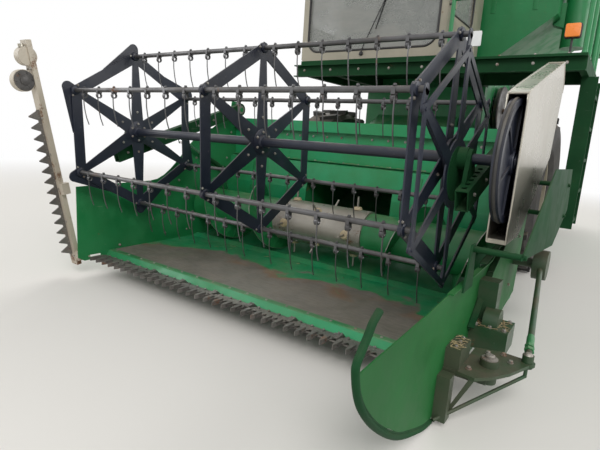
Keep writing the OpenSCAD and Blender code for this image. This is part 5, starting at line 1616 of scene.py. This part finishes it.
@dataclass
class PlatformTrim:
    """The platform's studs, the railing's feet, the ladder's tread teeth and the small lamps in front."""

    def build(self) -> None:
        """Makes the platform's pieces."""
        self._studs()
        self._feet()
        self._ladder()
        self._lamps()

    def _studs(self) -> None:
        """Adds the deck's raised studs."""
        studs = Piece("deck_studs")
        up = Vector((0.0, 0.0, 1.0))
        for i in range(16):
            for j in range(17):
                studs.turned(machine(0.55 + i * 0.063, 2.09 + j * 0.060, 1.8575), up,
                             [(0.011, 0.0), (0.010, 0.002), (0.006, 0.003)], 8)
        studs.make(PAINT_DARK_WITH_PAINTED_SHADE, "chassis", Slot.DARK_GREEN)

    def _feet(self) -> None:
        """Adds flanges under the railing's tubes, and bolts on the platform's top and along its front edge."""
        feet, bolts = Piece("railing_feet"), Piece("railing_bolts")
        up = Vector((0.0, 0.0, 1.0))
        for x, y in ((0.550, 2.035), (1.515, 2.035), (1.515, 2.365), (1.515, 2.860), (1.515, 3.120)):
            feet.turned(machine(x, y, 1.858), up, [(0.022, 0.0), (0.022, 0.005), (0.020, 0.006), (0.0185, 0.018)], 24)
        for x, y in ((0.70, 2.035), (0.95, 2.035), (1.20, 2.035), (1.42, 2.035)):
            bolts.bolt(machine(x, y, 1.858), up, 0.018)
            bolts.bolt(machine(x, 2.010, 1.795), Vector((0.0, -1.0, 0.0)), 0.018)
        for x in (-0.85, -0.55, -0.25, 0.05, 0.35):
            bolts.bolt(machine(x, 2.010, 1.795), Vector((0.0, -1.0, 0.0)), 0.018)
        feet.make(PAINT_GREEN, "chassis", Slot.GREEN)
        bolts.make(METAL_BOLT, "chassis", Slot.STEEL)

    def _ladder(self) -> None:
        """Adds the tread teeth along the ladder's steps."""
        teeth = Piece("ladder_teeth")
        for i in range(5):
            z = 0.6245 + i * 0.25
            for j in range(14):
                y = 2.452 + j * 0.0245
                for x in (1.505, 1.550, 1.590):
                    teeth.slab([machine(x - 0.006, y, z), machine(x + 0.006, y, z), machine(x, y, z + 0.005)],
                               Vector((0.0, 0.010, 0.0)))
        teeth.make(PAINT_DARK_WITH_PAINTED_SHADE, "chassis", Slot.DARK_GREEN)

    def _lamps(self) -> None:
        """Adds the orange indicator and the pale marker on the platform's front edge."""
        lamp = Piece("front_indicator")
        lamp.slab(rounded_loop((1.375, 1.968), (1.470, 2.058), 0.012, lambda a, b: machine(a, 2.040, b)),
                  Vector((0.0, -0.030, 0.0)))
        lamp.make(LENS_ORANGE, "chassis", Slot.PLASTIC, 0.004)
        case = Piece("indicator_case")
        case.slab(rounded_loop((1.368, 1.962), (1.477, 2.064), 0.014, lambda a, b: machine(a, 2.041, b)),
                  Vector((0.0, 0.022, 0.0)))
        case.tube([machine(1.4225, 2.050, 1.858), machine(1.4225, 2.050, 1.966)], 0.008, 10)
        case.tube([machine(0.715, 2.052, 1.858), machine(0.715, 2.052, 1.95)], 0.008, 10)
        case.make(PLASTIC_DARK, "chassis", Slot.PLASTIC, 0.002)
        marker = Piece("front_marker")
        marker.slab(rounded_loop((0.635, 1.945), (0.795, 2.060), 0.010, lambda a, b: machine(a, 2.048, b)),
                    Vector((0.0, 0.008, 0.0)))
        marker.make(LENS_CLEAR, "chassis", Slot.GLASS, 0.001)


@dataclass
class BodyTrim:
    """Seams, ribs, belts, grille bars and lamps of the threshing body, tank and hoods."""

    side: float = 0.640

    def build(self) -> None:
        """Makes the body's pieces."""
        self._panels()
        self._tank()
        self._belts()
        self._hood()
        self._rear()
        self._unloader()

    def _panels(self) -> None:
        """Adds the side panels' seams and their bolts."""
        seams, bolts = Piece("body_seams"), Piece("body_bolts")
        for s in (-1.0, 1.0):
            x = s * self.side
            out = Vector((s, 0.0, 0.0))
            for y in (3.35, 4.00, 4.95, 6.00, 6.40):
                seams.slab([machine(x - s * 0.0005, y - 0.020, 1.20), machine(x - s * 0.0005, y + 0.020, 1.20),
                            machine(x - s * 0.0005, y + 0.020, 1.985), machine(x - s * 0.0005, y - 0.020, 1.985)],
                           out * 0.0035)
                for i in range(6):
                    bolts.bolt(machine(x + s * 0.003, y, 1.26 + i * 0.138), out, 0.015)
            seams.slab([machine(x - s * 0.0005, 3.02, 1.985), machine(x - s * 0.0005, 6.44, 1.985),
                        machine(x - s * 0.0005, 6.44, 2.025), machine(x - s * 0.0005, 3.02, 2.025)], out * 0.0045)
        seams.make(PAINT_GREEN, "chassis", Slot.GREEN, 0.001)
        bolts.make(METAL_BOLT, "chassis", Slot.STEEL)

    def _tank(self) -> None:
        """Adds the tank's ribs, its rolled rim and its rivets."""
        ribs, rivets = Piece("tank_ribs"), Piece("tank_rivets")
        for s in (-1.0, 1.0):
            x = s * 1.150
            out = Vector((s, 0.0, 0.0))
            for i in range(5):
                y = 3.30 + i * 0.38
                if s > 0 and i < 1:
                    continue
                ribs.slab([machine(x - s * 0.0005, y - 0.022, 2.47), machine(x - s * 0.0005, y + 0.022, 2.47),
                           machine(x - s * 0.0005, y + 0.022, 3.10), machine(x - s * 0.0005, y - 0.022, 3.10)],
                          out * 0.0050)
                for j in range(5):
                    rivets.turned(machine(x + s * 0.0045, y, 2.52 + j * 0.135), out,
                                  [(0.006, 0.0), (0.005, 0.002), (0.002, 0.003)], 10)
        rim = rounded_loop((-1.1475, 3.1625), (1.1475, 4.9575), 0.02, lambda a, b: machine(a, b, 3.150), 4)
        ribs.tube(rim, 0.0075, 10, closed=True)
        for i in range(6):
            x = -0.95 + i * 0.38
            ribs.slab([machine(x - 0.022, 3.1605, 2.47), machine(x + 0.022, 3.1605, 2.47),
                       machine(x + 0.022, 3.1605, 3.10), machine(x - 0.022, 3.1605, 3.10)], Vector((0.0, -0.006, 0.0)))
        ribs.make(PAINT_GREEN, "chassis", Slot.GREEN, 0.001)
        rivets.make(METAL_BOLT, "chassis", Slot.STEEL)

    def _belts(self) -> None:
        """Adds the drive belts and the pulleys' hub nuts on both sides of the body."""
        belts, hubs = Piece("drive_belts"), Piece("pulley_hubs")
        runs = ((1.0, ((3.55, 1.56, 0.250), (4.45, 1.50, 0.170)), 0.010),
                (1.0, ((4.45, 1.50, 0.170), (5.35, 1.65, 0.210)), -0.010),
                (-1.0, ((3.65, 1.50, 0.200), (4.50, 1.62, 0.150)), 0.010),
                (-1.0, ((4.50, 1.62, 0.150), (5.45, 1.50, 0.230)), -0.010))
        for s, (first, second), shift in runs:
            belts.tube(self._belt(s * (0.690 + shift), first, second), 0.0075, 6, closed=True)
            for y, z, _ in (first, second):
                hubs.bolt(machine(s * 0.730, y, z), Vector((s, 0.0, 0.0)), 0.034)
        belts.make(HOSE_BLACK, "chassis", Slot.TYRE)
        hubs.make(METAL_BOLT, "chassis", Slot.STEEL)

    @staticmethod
    def _belt(x: float, first: Point, second: Point) -> list[Vector]:
        """Gives the loop of a belt round two pulleys.

        Args:
            x: Where it runs across the machine.
            first: Place and radius of the first pulley.
            second: Place and radius of the second pulley.

        Returns:
            The loop's points.
        """
        way = math.atan2(second[1] - first[1], second[0] - first[0])
        apart = math.hypot(second[0] - first[0], second[1] - first[1])
        lead = math.acos((first[2] - second[2]) / apart)
        loop = []
        for (y, z, r), start, end in ((first, way + lead, way + 2 * math.pi - lead), (second, way - lead, way + lead)):
            for i in range(19):
                angle = start + (end - start) * i / 18
                loop.append(machine(x, y + (r + 0.004) * math.cos(angle), z + (r + 0.004) * math.sin(angle)))
        return loop

    def _hood(self) -> None:
        """Adds the grille's bars, the hood's handles and hinges, and the exhaust's bands."""
        bars, fittings = Piece("grille_bars"), Piece("hood_fittings")
        for s in (-1.0, 1.0):
            for i in range(12):
                z = 2.265 + i * 0.0305
                bars.tube([machine(s * 0.5545, 5.115, z), machine(s * 0.5545, 5.885, z)], 0.0035, 6)
            for z in (2.16, 2.70):
                fittings.tube([machine(s * 0.560, 6.00, z), machine(s * 0.590, 6.01, z), machine(s * 0.590, 6.14, z),
                               machine(s * 0.560, 6.15, z)], 0.007, 8)
        for x in (-0.40, 0.40):
            fittings.tube([machine(x, 4.997, 2.60), machine(x, 4.997, 2.70)], 0.012, 10)
        bars.make(METAL_DARK, "chassis", Slot.STEEL)
        fittings.make(PLASTIC_DARK, "chassis", Slot.PLASTIC)
        exhaust = Piece("exhaust_bands")
        centre = machine(0.330, 5.250, 2.775)
        up = Vector((0.0, 0.0, 1.0))
        for z, r in ((0.020, 0.0705), (0.160, 0.0705), (0.300, 0.0705), (0.345, 0.0355), (0.480, 0.0355)):
            exhaust.turned(centre + up * z, up, [(r, 0.0), (r + 0.003, 0.001), (r + 0.003, 0.014), (r, 0.015)], 28)
        exhaust.make(METAL_CAST, "chassis", Slot.CAST)

    def _rear(self) -> None:
        """Adds the rubber straw curtain, the rear lamps and the hood's seams."""
        curtain = Piece("straw_curtain")
        for i in range(12):
            x = -0.600 + i * 0.1003
            curtain.slab([machine(x, 7.110, 0.990), machine(x + 0.094, 7.112, 0.990),
                          machine(x + 0.092, 7.085 + 0.012 * (i % 3), 0.640),
                          machine(x + 0.003, 7.083 + 0.012 * (i % 2), 0.640)],
                         Vector((0.0, 0.004, 0.0)))
        curtain.make(HOSE_BLACK, "chassis", Slot.TYRE)
        lamps, cases = Piece("rear_lamps"), Piece("rear_lamp_cases")
        face = Vector((0.0, 0.48, 0.25)).normalized()
        for s in (-1.0, 1.0):
            for i, x in enumerate((0.44, 0.52)):
                centre = machine(s * x, 7.088, 1.712)
                (lamps if i else cases).turned(centre - face * 0.004, face,
                                               [(0.034, 0.0), (0.034, 0.010), (0.026, 0.016), (0.010, 0.018)], 24)
            cases.turned(machine(s * 0.52, 7.088, 1.712) - face * 0.004, face,
                         [(0.040, 0.0), (0.040, 0.006), (0.0345, 0.007)], 24)
        lamps.make(LENS_RED, "chassis", Slot.PLASTIC)
        cases.make(LENS_ORANGE, "chassis", Slot.PLASTIC)
        seams = Piece("straw_hood_seams")
        for s in (-1.0, 1.0):
            x = s * self.side
            for y in (6.52, 6.90):
                seams.slab([machine(x - s * 0.0005, y - 0.018, 1.16), machine(x - s * 0.0005, y + 0.018, 1.16),
                            machine(x - s * 0.0005, y + 0.018, 1.93), machine(x - s * 0.0005, y - 0.018, 1.93)],
                           Vector((s * 0.004, 0.0, 0.0)))
        seams.make(PAINT_GREEN, "chassis", Slot.GREEN, 0.001)

    @staticmethod
    def _unloader() -> None:
        """Adds the bands of the unloading tube and of its spout."""
        bands = Piece("unloader_bands")
        ahead = Vector((0.0, 1.0, 0.0))
        for y in (3.70, 4.60, 5.50, 6.30):
            bands.turned(machine(1.280, y, 2.880), ahead,
                         [(0.1095, 0.0), (0.113, 0.001), (0.113, 0.029), (0.1095, 0.030)], 36)
        spout = machine(1.280, 6.660, 2.880)
        for z in (-0.125, -0.252):
            bands.turned(spout + Vector((0.0, 0.0, z)), Vector((0.0, 0.0, 1.0)),
                         [(0.1075, 0.0), (0.111, 0.001), (0.111, 0.017), (0.1075, 0.018)], 36)
        bands.make(PAINT_DARK_WITH_PAINTED_SHADE, "unloader", Slot.DARK_GREEN)


@dataclass
class WheelTrim:
    """Wheel nuts on the four wheels."""

    wheels: Sequence[tuple[str, float, float, float, float]] = (
        ("front_wheel_left", 1.10, 3.10, 0.748, 1.0), ("front_wheel_right", -1.10, 3.10, 0.748, -1.0),
        ("rear_wheel_left", 0.90, 6.00, 0.440, 1.0), ("rear_wheel_right", -0.90, 6.00, 0.440, -1.0),
    )
    hub_reach: float = 0.040

    def build(self) -> None:
        """Makes each wheel's pieces, on the outer face of its disc."""
        for body, x, y, z, side in self.wheels:
            self._nuts(body, x, y, z, side)

    def _nuts(self, body: str, x: float, y: float, z: float, side: float) -> None:
        """Adds the nuts of one wheel.

        Args:
            body: The wheel's body.
            x: The wheel's middle across the machine.
            y: Its axle behind the guard tips.
            z: Its axle above the ground.
            side: 1 on the left, -1 on the right.
        """
        big = body.startswith("front")
        axis = Vector((side, 0.0, 0.0))
        face = x + side * self.hub_reach
        ring = 0.118 if big else 0.085
        nuts = Piece(f"{body}_nuts")
        for k in range(8 if big else 6):
            angle = 2 * math.pi * k / (8 if big else 6)
            nuts.bolt(machine(face, y + ring * math.cos(angle), z + ring * math.sin(angle)), axis, 0.030)
        nuts.make(METAL_BOLT, body, Slot.STEEL)


@dataclass
class Straw:
    """Loose straws and chaff left on the header, the ledge and the knife drive."""

    seed: int = 7

    def build(self) -> None:
        """Makes the straws on the header's body."""
        rng = random.Random(self.seed)
        straws = Piece("loose_straw")
        for count, low, high in self._places():
            for _ in range(count):
                place = Vector(tuple(rng.uniform(a, b) for a, b in zip(low, high)))
                self._straw(straws, rng, place)
        straws.make(STRAW, "header", Slot.GALVANISED)

    @staticmethod
    def _places() -> Iterable[tuple[int, Vector, Vector]]:
        """Gives how many straws lie in each box of the header.

        Returns:
            The straws' number, and the box's low and high corners.
        """
        yield 90, machine(1.385, 0.39, 0.3185), machine(1.54, 0.55, 0.3215)
        yield 26, machine(1.385, 0.02, 0.333), machine(1.43, 0.16, 0.335)
        yield 60, machine(-1.30, 1.588, 0.9545), machine(1.30, 1.622, 0.957)
        yield 18, machine(-1.30, 0.90, 0.174), machine(1.30, 1.04, 0.176)

    @staticmethod
    def _straw(straws: Piece, rng: random.Random, place: Vector) -> None:
        """Adds one slightly bent straw that lies flat.

        Args:
            straws: The piece that gathers them.
            rng: The source of chance.
            place: Its middle.
        """
        heading = rng.uniform(0.0, math.pi)
        half = rng.uniform(0.008, 0.026)
        way = Vector((math.cos(heading), math.sin(heading), 0.0)) * half
        across = Vector((-way.y, way.x, 0.0)) * rng.uniform(-0.15, 0.15)
        straws.tube([place - way, place + across, place + way], rng.uniform(0.0008, 0.0014), 5)


@dataclass
class Camera:
    """The photograph's camera, solved from the row of guards."""

    place: Vector = field(default_factory=lambda: machine(1.858, -1.836, 1.160))
    yaw: float = 34.468
    pitch: float = 11.043
    roll: float = 3.79
    focal_px: float = 455.5
    width_px: float = 600.0
    sensor_mm: float = 36.0

    def build(self) -> bpy.types.Object:
        """Makes the camera and sets it as the scene's.

        Returns:
            The camera.
        """
        yaw, pitch, roll = (math.radians(a) for a in (self.yaw, self.pitch, self.roll))
        ahead = Vector((-math.sin(yaw) * math.cos(pitch), math.cos(yaw) * math.cos(pitch), -math.sin(pitch)))
        level = Vector((math.cos(yaw), math.sin(yaw), 0.0))
        above = level.cross(ahead)
        right = math.cos(roll) * level + math.sin(roll) * above
        up = -math.sin(roll) * level + math.cos(roll) * above
        data = bpy.data.cameras.new("camera")
        data.sensor_fit = "HORIZONTAL"
        data.sensor_width = self.sensor_mm
        data.lens = self.focal_px * self.sensor_mm / self.width_px
        data.clip_end = 200.0
        camera = bpy.data.objects.new("camera", data)
        bpy.context.scene.collection.objects.link(camera)
        turn = Matrix((right, up, -ahead)).transposed()
        camera.matrix_world = Matrix.Translation(self.place) @ turn.to_4x4()
        bpy.context.scene.camera = camera
        return camera


@dataclass
class Studio:
    """Pale floor that fades to white, white surround and soft lamps."""

    floor_size: float = 80.0
    floor_colour: Colour = (0.70, 0.675, 0.63)
    fade_start: float = 5.5
    fade_end: float = 13.0
    lamps: Sequence[tuple[str, Point, Point, float, float]] = (
        ("key", (5.0, -9.0, 7.5), (0.3, -2.6, 0.7), 5.0, 640.0),
        ("fill", (-9.0, -7.0, 4.5), (0.0, -2.5, 0.8), 7.0, 330.0),
        ("rim", (-6.0, 9.0, 9.0), (0.0, 0.0, 1.0), 8.0, 900.0),
        ("side", (10.0, 2.0, 5.0), (0.0, -1.5, 1.0), 6.0, 420.0),
    )

    def build(self) -> None:
        """Makes the floor, the surround and the lamps."""
        self._floor()
        self._surround()
        for name, place, aim, size, power in self.lamps:
            self._lamp(name, Vector(place), Vector(aim), size, power)

    def _floor(self) -> None:
        """Makes the plain floor, which fades into the white far off."""
        half = self.floor_size / 2
        mesh = bpy.data.meshes.new("floor")
        mesh.from_pydata([(-half, -half, 0), (half, -half, 0), (half, half, 0), (-half, half, 0)], [], [(0, 1, 2, 3)])
        floor = bpy.data.objects.new("floor", mesh)
        bpy.context.scene.collection.objects.link(floor)
        s = Shader("pale_floor")
        t = s.tree
        s.set(Base_Color=self.floor_colour, Roughness=0.9)
        rays = t.add("ShaderNodeLightPath")
        reach = t.add("ShaderNodeVectorMath", operation="LENGTH")
        t.link(s.place, reach.inputs[0])
        far = t.ramp(reach.outputs["Value"], self.fade_start, self.fade_end)
        glow = t.math("MULTIPLY", far, rays.outputs["Is Camera Ray"])
        s.set(Base_Color=t.mix(glow, self.floor_colour, (0.0, 0.0, 0.0)))
        s.set(Emission_Color=(1.0, 1.0, 1.0), Emission_Strength=glow)
        s.set(Specular_IOR_Level=t.math("MULTIPLY", t.math("SUBTRACT", 1.0, glow), 0.3))
        mesh.materials.append(s.material)

    @staticmethod
    def _surround() -> None:
        """Makes the world: soft light, and white where the camera or a reflection looks."""
        world = bpy.data.worlds.new("surround")
        bpy.context.scene.world = world
        world.use_nodes = True
        t = Tree(world.node_tree)
        rays = t.add("ShaderNodeLightPath")
        seen = t.math("MAXIMUM", rays.outputs["Is Camera Ray"],
                      t.math("MAXIMUM", rays.outputs["Is Glossy Ray"], rays.outputs["Is Transmission Ray"]))
        light = t.add("ShaderNodeBackground")
        light.inputs["Color"].default_value = (0.95, 0.97, 1.0, 1.0)
        light.inputs["Strength"].default_value = 0.5
        white = t.add("ShaderNodeBackground")
        white.inputs["Color"].default_value = (1.0, 1.0, 1.0, 1.0)
        white.inputs["Strength"].default_value = 1.0
        both = t.add("ShaderNodeMixShader")
        t.link(seen, both.inputs[0])
        t.link(light.outputs[0], both.inputs[1])
        t.link(white.outputs[0], both.inputs[2])
        t.link(both.outputs[0], t.add("ShaderNodeOutputWorld").inputs[0])

    @staticmethod
    def _lamp(name: str, place: Vector, aim: Vector, size: float, power: float) -> None:
        """Makes one soft area lamp.

        Args:
            name: Its name.
            place: Where it hangs.
            aim: What it points at.
            size: Side of its square in metres.
            power: Power in watts.
        """
        data = bpy.data.lights.new(name, "AREA")
        data.size = size
        data.energy = power
        lamp = bpy.data.objects.new(name, data)
        lamp.location = place
        lamp.rotation_mode = "QUATERNION"
        lamp.rotation_quaternion = (aim - place).to_track_quat("-Z", "Y")
        bpy.context.scene.collection.objects.link(lamp)


def main() -> None:
    """Builds the camera, the studio and the dressed machine."""
    logging.basicConfig(level=logging.INFO, format="%(message)s")
    bpy.context.scene.view_settings.view_transform = "Standard"
    Camera().build()
    Studio().build()
    WARDROBE.dress()
    for part in (TineBars(), ReelTrim(), HeaderTrim(), CabTrim(), PlatformTrim(), BodyTrim(), WheelTrim(), Straw()):
        LOG.info("building %s", type(part).__name__)
        part.build()


if __name__ == "__main__":
    main()
